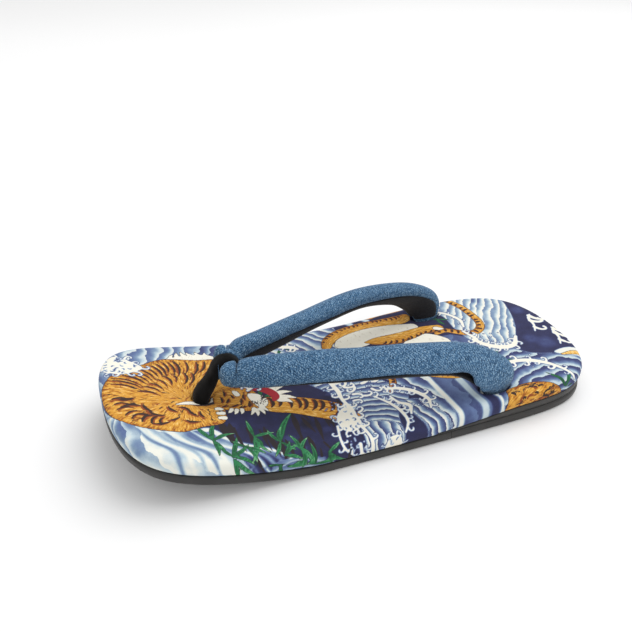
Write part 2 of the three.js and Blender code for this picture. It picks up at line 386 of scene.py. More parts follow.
def denim_material():
    """Twill: a random brightness for each thread crossing, diagonal ribs and slubs."""
    s = Shader("denim_twill")
    cloth = s.field("cloth", "Vector")
    crossing = s.node("VectorMath", {0: s.scaled(cloth, 2.9, 2.6, 1, 0.4)}, operation="FLOOR").outputs[0]
    thread = s.node("TexWhiteNoise", {"Vector": crossing}, noise_dimensions="3D").outputs["Value"]
    rib = s.wave(s.scaled(cloth, 1, 1, 1, 0.9), 0.30, 0.8, 2)
    slub = s.noise(s.scaled(cloth, 1.6, 0.4, 1, 0.4), 1.0, 4, 0.7)
    worn = s.math("ADD", s.math("MULTIPLY", thread, 0.46), s.math("MULTIPLY", rib, 0.14))
    worn = s.math("ADD", worn, s.math("MULTIPLY", slub, 0.75))
    colour = s.ramp(s.math("SUBTRACT", worn, 0.12), [
        (0.16, (0.006, 0.018, 0.042)), (0.42, (0.024, 0.072, 0.148)),
        (0.62, (0.058, 0.150, 0.282)), (0.90, (0.320, 0.480, 0.630)),
    ])
    fade = s.noise(s.place(), 24, 3)
    colour = s.mix(s.ramp(fade, [(0.35, (0, 0, 0)), (0.7, (0.10,) * 3)]), colour, (0.18, 0.33, 0.48, 1))
    height = s.math("ADD", s.math("MULTIPLY", rib, 0.5), s.math("MULTIPLY", thread, 0.5))
    return s.finish(colour, 0.88, s.bump(height, 0.4, 0.00025),
                    Sheen_Weight=0.10, Sheen_Roughness=0.5, Specular_IOR_Level=0.2)


def lining_material():
    s = Shader("strap_lining_cloth")
    cloth = s.field("cloth", "Vector")
    weave = s.math("MULTIPLY", s.wave(cloth, 1.3), s.wave(cloth, 1.3, direction="Y"))
    fuzz = s.noise(s.place(), 900, 4, 0.7)
    colour = s.ramp(fuzz, [(0.3, (0.006, 0.006, 0.008)), (0.8, (0.022, 0.022, 0.026))])
    return s.finish(colour, 0.92, s.bump(s.math("ADD", weave, fuzz), 0.3, 0.0002),
                    Sheen_Weight=0.12, Specular_IOR_Level=0.2)


def velvet_material():
    s = Shader("thong_velvet")
    place = s.place()
    pile = s.noise(place, 1500, 3, 0.7)
    brushed = s.noise(s.scaled(place, 1, 1, 0.35), 170, 4, 0.6)
    colour = s.ramp(brushed, [(0.35, (0.003, 0.003, 0.003)), (0.75, (0.012, 0.012, 0.013))])
    return s.finish(colour, 0.95, s.bump(s.math("ADD", pile, brushed), 0.5, 0.0003),
                    Sheen_Weight=0.12, Sheen_Roughness=0.4, Specular_IOR_Level=0.08)


def printed_cotton_material():
    """Printed cloth: water, then each painted layer cut out of it by its distance in millimetres."""
    s = Shader("printed_cotton_cloth")
    cloth = s.field("cloth", "Vector")
    hand = s.math("MULTIPLY", s.math("SUBTRACT", s.noise(cloth, 0.9, 4, 0.6), 0.5), 0.9)
    fine = s.noise(cloth, 2.2, 4, 0.65)
    broad = s.noise(cloth, 0.22, 3, 0.5)
    strands = s.noise(s.scaled(s.field("flow", "Vector"), 1.5, 0.22, 1), 1.0, 4, 0.65)

    def layer(name, grow=0.0, wobble=1.0):
        distance = s.math("ADD", s.field(name), s.math("MULTIPLY", hand, wobble))
        return s.math("SUBTRACT", distance, grow)

    drift = s.math("MULTIPLY", s.math("SUBTRACT", s.noise(cloth, 0.09, 2, 0.5), 0.5), 1.5)
    phase = s.math("ADD", s.field("water_phase"), s.math("ADD", s.math("MULTIPLY", hand, 0.16), drift))
    band = s.ramp(s.math("FRACT", phase), [
        (0.0, (1.0,) * 3), (0.16, (0.92,) * 3), (0.42, (0.45,) * 3), (0.70, (0.12,) * 3), (0.97, (0.0,) * 3),
    ])
    swing = s.math("MULTIPLY", s.math("SUBTRACT", band, 0.45), s.field("water_swing"))
    tone = s.math("ADD", s.field("water_tone"), swing)
    tone = s.math("ADD", tone, s.math("MULTIPLY", s.math("SUBTRACT", fine, 0.5), 0.16))
    tone = s.math("ADD", tone, s.math("MULTIPLY", s.math("SUBTRACT", broad, 0.5), 0.14))
    colour = s.ramp(tone, [(position, WATER[name]) for position, name in WATER_STOPS])

    ink = INKS["ink"]
    own = s.math("ADD", s.field("tone"), s.math("MULTIPLY", s.math("SUBTRACT", fine, 0.5), 0.35))
    furred = s.math("ADD", own, s.math("MULTIPLY", s.math("SUBTRACT", strands, 0.5), 2.6))

    leaf = layer("leaf", 0.0, 0.35)
    colour = s.mix(s.inside(s.math("SUBTRACT", leaf, 0.25)), colour, INKS["leaf_edge"])
    colour = s.mix(s.inside(leaf), colour, s.ramp(own, LEAF_STOPS))

    fur = layer("fur")
    colour = s.mix(s.inside(s.math("SUBTRACT", fur, 0.35)), colour, ink)
    colour = s.mix(s.inside(fur), colour, s.ramp(furred, FUR_STOPS))
    colour = s.mix(s.inside(layer("rust")), colour, INKS["rust"])
    colour = s.mix(s.inside(layer("stripe")), colour, INKS["stripe"])

    pale = layer("pale")
    hair = s.ramp(strands, [(0.32, INKS["hair"]), (0.44, INKS["cream"])])
    colour = s.mix(s.inside(s.math("SUBTRACT", pale, 0.3)), colour, ink)
    colour = s.mix(s.inside(pale), colour, hair)
    colour = s.mix(s.inside(layer("crimson", 0.0, 0.5)), colour, INKS["crimson"])

    foam = layer("foam", 0.0, 0.5)
    colour = s.mix(s.inside(s.math("SUBTRACT", foam, 0.3)), colour, INKS["foam_edge"])
    colour = s.mix(s.inside(foam), colour, INKS["foam_blue"])
    colour = s.mix(s.inside(s.math("ADD", foam, 0.22)), colour, INKS["cream"])
    colour = s.mix(s.inside(layer("line", 0.0, 0.6)), colour, ink)

    faded = s.mix(s.math("MULTIPLY", s.noise(cloth, 3.2, 2, 0.5), 0.03), colour, INKS["cream"])
    weave = s.math("MULTIPLY", s.wave(cloth, 0.62), s.wave(cloth, 0.62, direction="Y"))
    slub = s.noise(s.scaled(cloth, 0.35, 2.2, 1), 1.0, 3, 0.6)
    height = s.math("ADD", s.math("MULTIPLY", weave, 0.6), s.math("MULTIPLY", slub, 0.5))
    return s.finish(faded, 0.78, s.bump(height, 0.28, 0.0003),
                    Sheen_Weight=0.03, Sheen_Roughness=0.5, Specular_IOR_Level=0.18)


def srgb(red, green, blue):
    """An 8-bit screen colour as the linear colour that shaders take."""
    scaled = [value / 255 for value in (red, green, blue)]
    return (*[v / 12.92 if v <= 0.04045 else ((v + 0.055) / 1.055) ** 2.4 for v in scaled], 1.0)


WATER = {
    "night": srgb(14, 14, 32), "navy": srgb(32, 34, 74), "indigo": srgb(52, 60, 108),
    "periwinkle": srgb(92, 112, 154), "steel": srgb(124, 148, 176),
    "pale": srgb(186, 204, 212), "cream": srgb(230, 230, 220),
}
WATER_STOPS = [(0.0, "night"), (0.14, "navy"), (0.30, "indigo"), (0.47, "periwinkle"),
               (0.60, "steel"), (0.76, "pale"), (0.93, "cream")]
INKS = {
    "ink": srgb(34, 26, 34), "stripe": srgb(52, 34, 30), "rust": srgb(140, 66, 26),
    "leaf_edge": srgb(20, 58, 40), "cream": srgb(238, 234, 220), "hair": srgb(206, 198, 180),
    "crimson": srgb(158, 28, 44), "foam_edge": srgb(52, 58, 110), "foam_blue": srgb(170, 192, 216),
}
LEAF_STOPS = [(0.15, srgb(18, 80, 48)), (0.45, srgb(40, 122, 76)), (0.75, srgb(104, 168, 118)),
              (1.0, srgb(196, 220, 190))]
FUR_STOPS = [(0.0, srgb(112, 54, 18)), (0.22, srgb(160, 94, 28)), (0.45, srgb(206, 144, 46)),
             (0.72, srgb(224, 168, 68)), (1.0, srgb(244, 214, 146))]

# ---------- the print: shapes on the cloth, in millimetres, +X toe and +Y outer side ----------

EDGE = 3.0
LAYERS = ("leaf", "fur", "rust", "stripe", "pale", "crimson", "foam", "line")


def smooth_path(rows, steps=5, closed=False):
    """Rows of numbers with smooth rows between them, by uniform Catmull-Rom interpolation."""
    p = np.asarray(rows, float)
    ends = (p[-1:], p[:2]) if closed else (2 * p[:1] - p[1:2], 2 * p[-1:] - p[-2:-1])
    p = np.concatenate([ends[0], p, ends[1]])
    t = (np.arange(steps) / steps)[:, None]
    spans = [
        0.5 * (2 * b + (c - a) * t + (2 * a - 5 * b + 4 * c - d) * t ** 2 + (3 * b - a - 3 * c + d) * t ** 3)
        for a, b, c, d in zip(p, p[1:], p[2:], p[3:])
    ]
    return np.concatenate(spans if closed else [*spans, p[-2:-1]])


class Print:
    """The cloth's picture, as distances and tones at points of the cloth."""

    def __init__(self, at):
        self.at = at
        self.layers = {name: np.full(len(at), EDGE) for name in LAYERS}
        self.tone = np.full(len(at), 0.5)
        self.flow = at.copy()
        self.water_tone = np.full(len(at), 0.13)
        self.water_phase = np.zeros(len(at))
        self.water_swing = np.zeros(len(at))

    def near(self, path, margin):
        low, high = path[:, :2].min(0) - margin, path[:, :2].max(0) + margin
        return np.nonzero(((self.at > low) & (self.at < high)).all(1))[0]

    def measure(self, path, following, found):
        """Distance from the found points to each segment of a path, and the place along the segment."""
        p = self.at[found][:, None]
        step = (following - path)[None, :, :2]
        away = p - path[None, :, :2]
        along = np.clip((away * step).sum(2) / np.maximum((step ** 2).sum(2), 1e-9), 0, 1)
        return np.linalg.norm(away - along[..., None] * step, axis=2), along

    def stroke(self, rows, steps=5):
        """A brush stroke through rows of x, y, radius: points, distance, place along, signed place across."""
        path = smooth_path(rows, steps)
        found = self.near(path, path[:, 2].max() + EDGE)
        distance, along = self.measure(path[:-1], path[1:], found)
        radius = path[None, :-1, 2] + along * (path[1:, 2] - path[:-1, 2])[None]
        best = (distance - radius).argmin(1)
        pick = np.arange(len(found))
        gap = (distance - radius)[pick, best]
        step = (path[1:] - path[:-1])[best]
        away = self.at[found] - path[best, :2]
        side = np.sign(step[:, 0] * away[:, 1] - step[:, 1] * away[:, 0])
        across = side * distance[pick, best] / np.maximum(radius[pick, best], 0.1)
        return found, gap, (best + along[pick, best]) / (len(path) - 1), across

    def shape(self, outline, steps=4):
        """A filled outline: the points near it and their signed distance."""
        path = smooth_path(outline, steps, closed=True)
        following = np.roll(path, -1, 0)
        found = self.near(path, EDGE)
        distance, _ = self.measure(path, following, found)
        x, y = self.at[found].T
        crosses = (path[None, :, 1] > y[:, None]) != (following[None, :, 1] > y[:, None])
        rise = np.where(crosses, following[None, :, 1] - path[None, :, 1], 1.0)
        at_x = path[None, :, 0] + (y[:, None] - path[None, :, 1]) / rise * (following - path)[None, :, 0]
        inside = (crosses & (x[:, None] < at_x)).sum(1) % 2 == 1
        return found, np.where(inside, -1, 1) * distance.min(1)

    def hide(self, found, gap, kept=()):
        for name in LAYERS:
            if name not in kept:
                self.layers[name][found] = np.maximum(self.layers[name][found], -gap)

    def put(self, layer, found, gap, tone=None, flow=None):
        """Lays an opaque shape down: it hides every other layer under it.

        flow is where each point lies across and along the shape's hair."""
        self.hide(found, gap, (layer,))
        self.layers[layer][found] = np.minimum(self.layers[layer][found], gap)
        if tone is not None:
            self.tone[found] = np.where(gap < 0.4, tone, self.tone[found])
        if flow is not None:
            self.flow[found] = np.where((gap < 0.4)[:, None], flow, self.flow[found])

    def flow_from(self, found, x, y):
        """Hair that spreads from a point."""
        dx, dy = (self.at[found] - (x, y)).T
        return np.column_stack([np.arctan2(dy, dx) * 18, np.hypot(dx, dy)])

    def carve(self, layer, rows):
        """Takes a stroke out of a layer, so that what lies under it shows."""
        found, gap, _, _ = self.stroke(rows)
        self.layers[layer][found] = np.maximum(self.layers[layer][found], -gap)

    def mark(self, layer, rows, steps=5):
        """A mark on fur, kept just inside the fur's edge."""
        found, gap, _, _ = self.stroke(rows, steps)
        gap = np.maximum(gap, self.layers["fur"][found] + 0.35)
        self.layers[layer][found] = np.minimum(self.layers[layer][found], gap)

    def water(self, outline, tone, swing=0.0, centre=(0, 0), spacing=6.0, rays=False, soft=0.8):
        """A stretch of water whose bands are rings round a centre, or rays from it."""
        found, gap = self.shape(outline)
        cover = smoothstep(-gap, -soft / 2, soft / 2)
        dx, dy = (self.at[found] - centre).T
        phase = np.arctan2(dy, dx) / (2 * np.pi) * spacing if rays else np.hypot(dx, dy) / spacing
        self.water_phase[found] = np.where(cover > 0.5, phase, self.water_phase[found])
        blended = self.water_swing[found] * (1 - cover) + swing * cover
        self.water_swing[found] = blended * np.abs(2 * cover - 1)
        self.water_tone[found] = self.water_tone[found] * (1 - cover) + tone * cover
        self.hide(found, gap)

    def stream(self, rows, tone, soft=0.7):
        """One band of water."""
        found, gap, _, _ = self.stroke(rows)
        cover = smoothstep(-gap, -soft, soft)
        self.water_tone[found] = self.water_tone[found] * (1 - cover) + tone * cover
        self.water_swing[found] *= 1 - cover

    def wash(self, x, y, radius, tone, strength=1.0):
        """A soft patch of another tone in the water."""
        away = np.hypot(self.at[:, 0] - x, self.at[:, 1] - y)
        cover = strength * smoothstep(-away, -radius, -radius * 0.25)
        self.water_tone += (tone - self.water_tone) * cover


def turned(x, y, angle, along, across):
    """A point that lies along and across a direction in degrees."""
    c, s = math.cos(math.radians(angle)), math.sin(math.radians(angle))
    return x + along * c - across * s, y + along * s + across * c


def draw_stroke(cloth, layer, rows, steps=5):
    """Lays one brush stroke down."""
    found, gap, _, _ = cloth.stroke(rows, steps)
    cloth.put(layer, found, gap)


def draw_claw(cloth, x, y, angle, size, turn=1):
    """A hooked finger of foam that curls over to one side and ends in a drop."""
    rows = []
    heading = angle
    for i in range(8):
        width = size * (0.20 - 0.014 * i)
        rows.append((x, y, width if i < 7 else size * 0.17))
        step = size * (0.30 - 0.022 * i)
        x, y = turned(x, y, heading, step, 0)
        heading += turn * (12 + 7 * i)
    draw_stroke(cloth, "foam", rows, 3)


def draw_drops(cloth, x, y, spread, count, size=0.45):
    for _ in range(count):
        at = (x + rng.normal(0, spread), y + rng.normal(0, spread))
        r = size * rng.uniform(0.5, 1.2)
        draw_stroke(cloth, "foam", [(*at, r), (at[0] + 0.2, at[1] + 0.1, r)], 2)


def draw_crest(cloth, rows, claws, size=3.2, side=1, both=False):
    """A strand of foam with claws along it."""
    draw_stroke(cloth, "foam", rows)
    path = smooth_path(rows, 8)
    for n in range(claws):
        i = int((n + 0.5) / claws * (len(path) - 2))
        heading = math.degrees(math.atan2(*(path[i + 1] - path[i])[[1, 0]]))
        facing = -side if both and n % 2 else side
        scale = size * rng.uniform(0.75, 1.2)
        draw_claw(cloth, path[i, 0], path[i, 1], heading + facing * rng.uniform(45, 80), scale, facing)


def draw_foam_patch(cloth, outline, claws, size=3.0):
    """A filled patch of foam, broken by small curls, with claws all round."""
    found, gap = cloth.shape(outline)
    cloth.put("foam", found, gap)
    deep = found[gap < -1.0]
    for i in rng.choice(deep, len(deep) // 30, replace=False):
        angle, bend = rng.uniform(0, 360), rng.choice([-1, 1])
        rows = [(*turned(*cloth.at[i], angle, a, bend * b), r)
                for a, b, r in ((-0.9, -0.2, 0.05), (-0.2, 0.5, 0.28), (0.6, 0.3, 0.25), (0.9, -0.3, 0.05))]
        cloth.carve("foam", rows)
    path = smooth_path(outline, 4, closed=True)
    middle = path.mean(0)
    for n in range(claws):
        x, y = path[int((n + rng.uniform(0, 0.6)) / claws * len(path)) % len(path)]
        out = math.degrees(math.atan2(y - middle[1], x - middle[0]))
        draw_claw(cloth, x, y, out + rng.uniform(-25, 25), size * rng.uniform(0.7, 1.2), rng.choice([-1, 1]))


def draw_leaf(cloth, x, y, angle, length, width=1.5, tone=0.35, tip=0.75):
    """One bamboo leaf, from its stalk to its tip, paler towards the tip."""
    bend = rng.uniform(-0.12, 0.12) * length
    shape = [(0, 0, 0.25), (0.25, 0.5, 0.85), (0.5, 0.9, 1.0), (0.78, 0.6, 0.55), (1, 0, 0.05)]
    rows = [(*turned(x, y, angle, a * length, b * bend), r * width) for a, b, r in shape]
    found, gap, along, _ = cloth.stroke(rows)
    cloth.put("leaf", found, gap, tone + (tip - tone) * along ** 1.2)
    rib = [(*turned(x, y, angle, a * length, b * bend), 0.12) for a, b, _ in shape[1:4]]
    found, gap, _, _ = cloth.stroke(rib)
    cloth.tone[found] -= 0.3 * (gap < 0.25)


def draw_spray(cloth, x, y, leaves):
    """Leaves that grow from one knot: rows of angle, length and tip tone."""
    for angle, length, tip in leaves:
        width, tone = 0.42 + length * 0.042, rng.uniform(0.1, 0.4)
        draw_leaf(cloth, x, y, angle, length * 1.15, width, tone, max(tip, 0.62))


def draw_pelt(cloth, outline, root, tone=0.52):
    """Fur that grows away from a root point."""
    found, gap = cloth.shape(outline)
    cloth.put("fur", found, gap, tone - 0.22 * smoothstep(gap, -2.2, 0), cloth.flow_from(found, *root))


def draw_pale(cloth, outline, root):
    found, gap = cloth.shape(outline)
    cloth.put("pale", found, gap, None, cloth.flow_from(found, *root))


def draw_limb(cloth, rows, gap_mm, side=1, reach=0.9, width=0.75, start=0.06, stop=0.94, tone=0.52):
    """A furred limb or tail with tapering dark stripes from one edge."""
    found, gap, share, across = cloth.stroke(rows)
    path = smooth_path(rows, 12)
    length = np.concatenate([[0], np.cumsum(np.hypot(*np.diff(path[:, :2], axis=0).T))])
    flow = np.column_stack([across * 4, share * length[-1] + 2 * np.abs(across)])
    shade = tone + 0.16 * side * -across - 0.15 * smoothstep(gap, -1.4, 0)
    cloth.put("fur", found, gap, shade, flow)
    places = np.arange(start * length[-1], stop * length[-1], gap_mm)
    for place in places + rng.uniform(-0.12, 0.12, len(places)) * gap_mm:
        x, y, r = (np.interp(place, length, column) for column in path.T)
        i = min(int(np.searchsorted(length, place)), len(path) - 2)
        heading = math.degrees(math.atan2(*(path[i + 1] - path[i])[[1, 0]]))
        lean = rng.uniform(0.05, 0.30) * r
        deep = reach * rng.uniform(0.8, 1.15)
        profile = [(0, 1.0, 0.6), (0.35, 0.72, 1.0), (0.75, 0.35, 0.85), (1.1, 0, 0.15)]
        rows_in = []
        for a, b, w in profile:
            forward = lean * a * 2 + r * a * (1.1 - a)
            inward = side * r * (1 - deep * (1 - b))
            rows_in.append((*turned(x, y, heading, forward, inward), width * w))
        cloth.mark("rust", [(px + 0.35, py + 0.2, w * 1.25) for px, py, w in rows_in], 4)
        cloth.mark("stripe", rows_in, 4)


def draw_fan_stripes(cloth, edge, focus, count, reach, width, inset=1.0, lean=0.12):
    """Stripes from an edge of a pelt towards a focus, each bent and tapered, dark beside rust."""
    path = smooth_path(edge, 10)
    for n in range(count):
        t = (n + 0.5 + rng.uniform(-0.15, 0.15)) / count * (len(path) - 1)
        x, y = (np.interp(t, np.arange(len(path)), column) for column in path.T)
        away = math.hypot(focus[0] - x, focus[1] - y)
        angle = math.degrees(math.atan2(focus[1] - y, focus[0] - x))
        length = away * reach * rng.uniform(0.82, 1.15)
        w = width * rng.uniform(0.75, 1.2)
        profile = [(0, 0, 0.35), (0.25, 0.7, 0.9), (0.5, 1, 1.0), (0.75, 0.7, 0.7), (1, 0, 0.08)]
        rows = [
            (*turned(x, y, angle, inset + a * length, b * lean * length), w * r) for a, b, r in profile
        ]
        cloth.mark("rust", [(*turned(px, py, angle, 0.6, -0.85 * w), r * 1.15) for px, py, r in rows], 5)
        cloth.mark("stripe", rows, 5)


def draw_marks(cloth, layer, rows):
    """Single bent marks: x, y, direction, length, width, bend."""
    for x, y, angle, length, width, bend in rows:
        profile = [(-0.5, 0, 0.15), (-0.15, 0.8, 0.9), (0.15, 1, 1.0), (0.5, 0, 0.1)]
        cloth.mark(layer, [
            (*turned(x, y, angle, a * length, b * bend), w * width) for a, b, w in profile
        ])


def draw_water(cloth):
    cloth.water([(150, -70), (150, 70), (-150, 70), (-150, -70)], 0.12)
    for _ in range(80):
        cloth.wash(rng.uniform(10, 84), rng.uniform(-50, 58), rng.uniform(2, 5), rng.uniform(0.0, 0.38), 0.85)
    for _ in range(34):
        x, y = rng.uniform(14, 82), rng.uniform(12, 50)
        length, drift = rng.uniform(8, 20), rng.uniform(-3, 3)
        rows = [(x, y, 0.4), (x + drift * 0.3, y + length * 0.4, rng.uniform(0.6, 1.6)),
                (x + drift, y + length, 0.2)]
        draw_stroke(cloth, "line", rows)
    toe_far = [(145, -68), (144, -20), (120, -16), (95, -20), (70, -24), (58, -38), (56, -66)]
    cloth.water(toe_far, 0.62, 0.42, (-45, 4), 6.5)
    cloth.wash(70, -42, 12, 0.40, 0.7)
    cloth.water([(145, -40), (118, -30), (119, 10), (112, 26), (145, 40)], 0.56, 0.30, (60, -60), 7)
    toe_near = [(145, 14), (128, 15), (110, 22), (96, 26), (86, 25), (80, 31), (78, 40), (76, 48), (72, 56),
                (70, 70), (145, 70)]
    cloth.water(toe_near, 0.80, 0.30, (122, 10), 17, rays=True)
    for x, y, r, tone in [(93, 31, 8, 0.46), (86, 34, 7, 0.50), (88, 43, 8, 0.74), (106, 38, 9, 0.98),
                          (112, 50, 8, 0.92), (96, 48, 9, 0.95), (84, 52, 7, 0.97), (124, 24, 9, 0.52),
                          (120, 36, 7, 0.60)]:
        cloth.wash(x, y, r, tone, 0.85)
    for n in range(11):
        x, y = 117 - 3.3 * n, 24 + 0.5 * n
        end = 104 - 3.6 * n
        tone = (0.50, 0.94, 0.66)[n % 3]
        rows = [(x, y, 0.3), (x - 4 - 0.5 * n, y + 8, 0.9), (end - 1.0 * n, y + 17, 1.1),
                (end - 2.4 * n, y + 34, 0.4)]
        cloth.stream(rows, tone, 1.1)
    cloth.water([(62, 51), (50, 50), (36, 53), (34, 62), (62, 62)], 0.55, 0.25, (50, 80), 4)
    cloth.water([(30, -4), (16, -6), (4, -2), (-9, -2), (-10, 10), (-18, 22), (-14, 36), (-17, 50), (-16, 66),
                 (15, 66), (15, 40), (14, 26), (18, 14)], 0.56, 0.55, (8, 53), 3.7)
    cloth.water([(15.5, 38), (6, 39), (-2, 43), (-3, 52), (-3, 66), (15.5, 66)], 0.58, 0.60, (-150, 45), 4.6)
    cloth.water([(-10, 33), (-4, 45), (-6, 66), (-18, 66), (-14, 46)], 0.14)
    cloth.water([(-12, 33), (-16, 50), (-18, 66), (-38, 66), (-33, 48), (-25, 36), (-18, 30)],
                0.58, 0.62, (130, 85), 4.3)
    cloth.water([(-9, -6), (-14, 14), (-24, 26), (-26, 42), (-33, 66), (-37, 66), (-34, 40), (-34, 10),
                 (-40, -6)], 0.54, 0.58, (158, 109), 7)
    cloth.water([(-34, -6), (-33, 30), (-36, 66), (-70, 66), (-72, -6)], 0.40, 0.12, (-250, 30), 9)
    for x, width, tone in [(-34.5, 1.5, 0.93), (-48.6, 2.0, 0.78), (-54.5, 2.2, 0.16), (-59.5, 1.7, 0.93),
                           (-66, 1.2, 0.60)]:
        cloth.stream([(x + 2.5, -4, width), (x + 1.5, 24, width), (x, 44, width), (x - 1, 66, width)], tone)
    cloth.water([(-66, 6), (-66, 66), (-145, 66), (-145, 22), (-112, 22), (-92, 10)],
                0.50, 0.55, (-96, 76), 6)
    cloth.water([(45, -66), (45, -26), (20, -20), (0, -24), (-6, -48), (2, -66)], 0.60, 0.55, (133, 49), 5.6)
    cloth.water([(-2, -70), (-2, -48), (-28, -49), (-60, -47), (-64, -70)], 0.20)
    for x in (-15.5, -26.0):
        cloth.stream([(x + 2, -64, 2.2), (x, -50, 2.3), (x - 1, -46, 1.8)], 0.78)
    cloth.water([(-74, -70), (-70, -50), (-71, -30), (-70, -14), (-74, 2), (-86, 12), (-95, 10), (-100, 2),
                 (-108, -10), (-114, -26), (-118, -44), (-116, -70)], 0.74, 0.45, (-265, 86), 4.4)
    for x, y, r, tone in [(-100, -42, 6, 0.50), (-84, -6, 6, 0.97), (-92, -26, 7, 0.95), (-98, -8, 6, 0.62),
                          (-76, -36, 5, 0.60)]:
        cloth.wash(x, y, r, tone, 0.8)
    cloth.water([(-92, 14), (-102, 0), (-112, -20), (-117, -40), (-118, -70), (-145, -70), (-145, 26),
                 (-108, 24)], 0.16)
    for x, y, r in [(-112, 14, 8), (-118, -22, 6), (-106, 8, 6), (-126, -34, 6)]:
        cloth.wash(x, y, r, 0.33, 0.9)
    cloth.water([(-110, 24), (-118, 22), (-130, 24), (-145, 22), (-145, 31), (-130, 33), (-119, 30)], 0.93)


def draw_foam(cloth):
    toe_foam = [(127, -29), (128, -21), (120, -18), (112, -21), (108, -25), (114, -31), (121, -35)]
    draw_foam_patch(cloth, toe_foam, 11, 3.2)
    draw_crest(cloth, [(17, -4, 0.8), (17, 2, 1.0), (15.5, 10, 1.4), (16, 18, 1.0), (14.6, 27, 1.2),
                       (15.5, 36, 1.1), (14, 46, 0.9), (13.5, 58, 1.2)], 17, 3.6, -1, both=True)
    for x, y, angle, size, turn in [
        (15, 4, 170, 6, 1), (9, 3, 95, 5, -1), (4, 4, 200, 5.5, 1), (11, 9, 150, 5, 1), (6, 11, 60, 4.6, -1),
        (1, 9, 190, 5.6, 1), (-3, 5, 160, 5, -1), (-6, 10, 200, 5, 1), (-2, 15, 120, 4.6, 1),
        (9, 16, 175, 4.6, -1), (4, 19, 165, 4.4, 1), (11, 21, 190, 4, -1), (12, 30, 200, 4, 1),
        (-8, 16, 120, 4, -1), (14, -2, 120, 5, 1), (5, -2, 60, 5, -1),
    ]:
        draw_claw(cloth, x, y, angle, size, turn)
    draw_foam_patch(cloth, [(25, 33), (22, 27), (17, 24), (14, 30), (14, 38), (19, 42), (24, 40)], 12, 2.6)
    draw_crest(cloth, [(26, 36, 0.7), (28, 44, 0.6), (28, 50, 0.7), (23, 56, 0.5)], 5, 2.8, 1, both=True)
    draw_crest(cloth, [(20, 50, 0.9), (19, 56, 0.9), (14, 59, 1.0)], 3, 2.6, -1)
    draw_foam_patch(cloth, [(6, 52), (3, 50), (-1, 51), (-2, 57), (2, 61), (7, 58)], 9, 2.8)
    draw_crest(cloth, [(0, 21, 0.5), (-5, 28, 0.9), (-8, 36, 1.0), (-8, 44, 0.8), (-4, 50, 0.5)], 9, 3.0, 1)
    draw_crest(cloth, [(-9, 18, 0.8), (-15, 20, 1.2), (-21, 25, 1.3), (-25, 33, 1.1), (-23, 40, 0.6)],
               13, 3.4, 1, both=True)
    draw_crest(cloth, [(-8, 24, 0.6), (-10, 30, 0.9), (-14, 34, 1.2), (-12, 40, 0.6)], 4, 2.6, -1)
    draw_crest(cloth, [(36, -41, 1.0), (30, -38, 1.6), (25, -36, 1.6), (22, -33, 0.9)], 7, 3.4, -1, both=True)
    draw_crest(cloth, [(-74, -2, 1.4), (-78, 5, 1.8), (-85, 10, 2.0), (-93, 10, 1.6), (-99, 3, 1.0)],
               14, 3.8, -1, both=True)
    draw_crest(cloth, [(-73, -12, 0.8), (-76, -2, 1.2)], 4, 3.0, 1)
    draw_crest(cloth, [(-70, -40, 0.8), (-74, -34, 1.1), (-78, -24, 1.2), (-76, -16, 0.8)],
               6, 3.0, 1, both=True)
    for x, y in [(0, 0), (-5.5, 16)]:
        draw_crest(cloth, [(-122 + x, -15 + y, 0.5), (-118.5 + x, -11 + y, 1.0), (-117 + x, -4 + y, 0.8),
                           (-113.5 + x, 2 + y, 0.5)], 3, 7.5, 1)
    draw_crest(cloth, [(-70, 30, 0.9), (-80, 24, 1.4), (-92, 26, 1.6), (-102, 34, 1.2), (-108, 46, 0.8)],
               12, 3.8, 1, both=True)
    draw_crest(cloth, [(60, -2, 0.8), (52, -8, 1.2), (42, -10, 1.2), (34, -4, 0.8)], 8, 3.6, 1, both=True)
    drops = [(24, 20, 5, 9), (16, 4, 5, 18), (24, 50, 3, 14), (-4, 10, 5, 14), (118, -26, 4, 8),
             (-18, 34, 3, 8), (-84, 2, 5, 12), (44, -10, 5, 8), (-90, 30, 6, 10)]
    for x, y, spread, count in drops:
        draw_drops(cloth, x, y, spread, count)


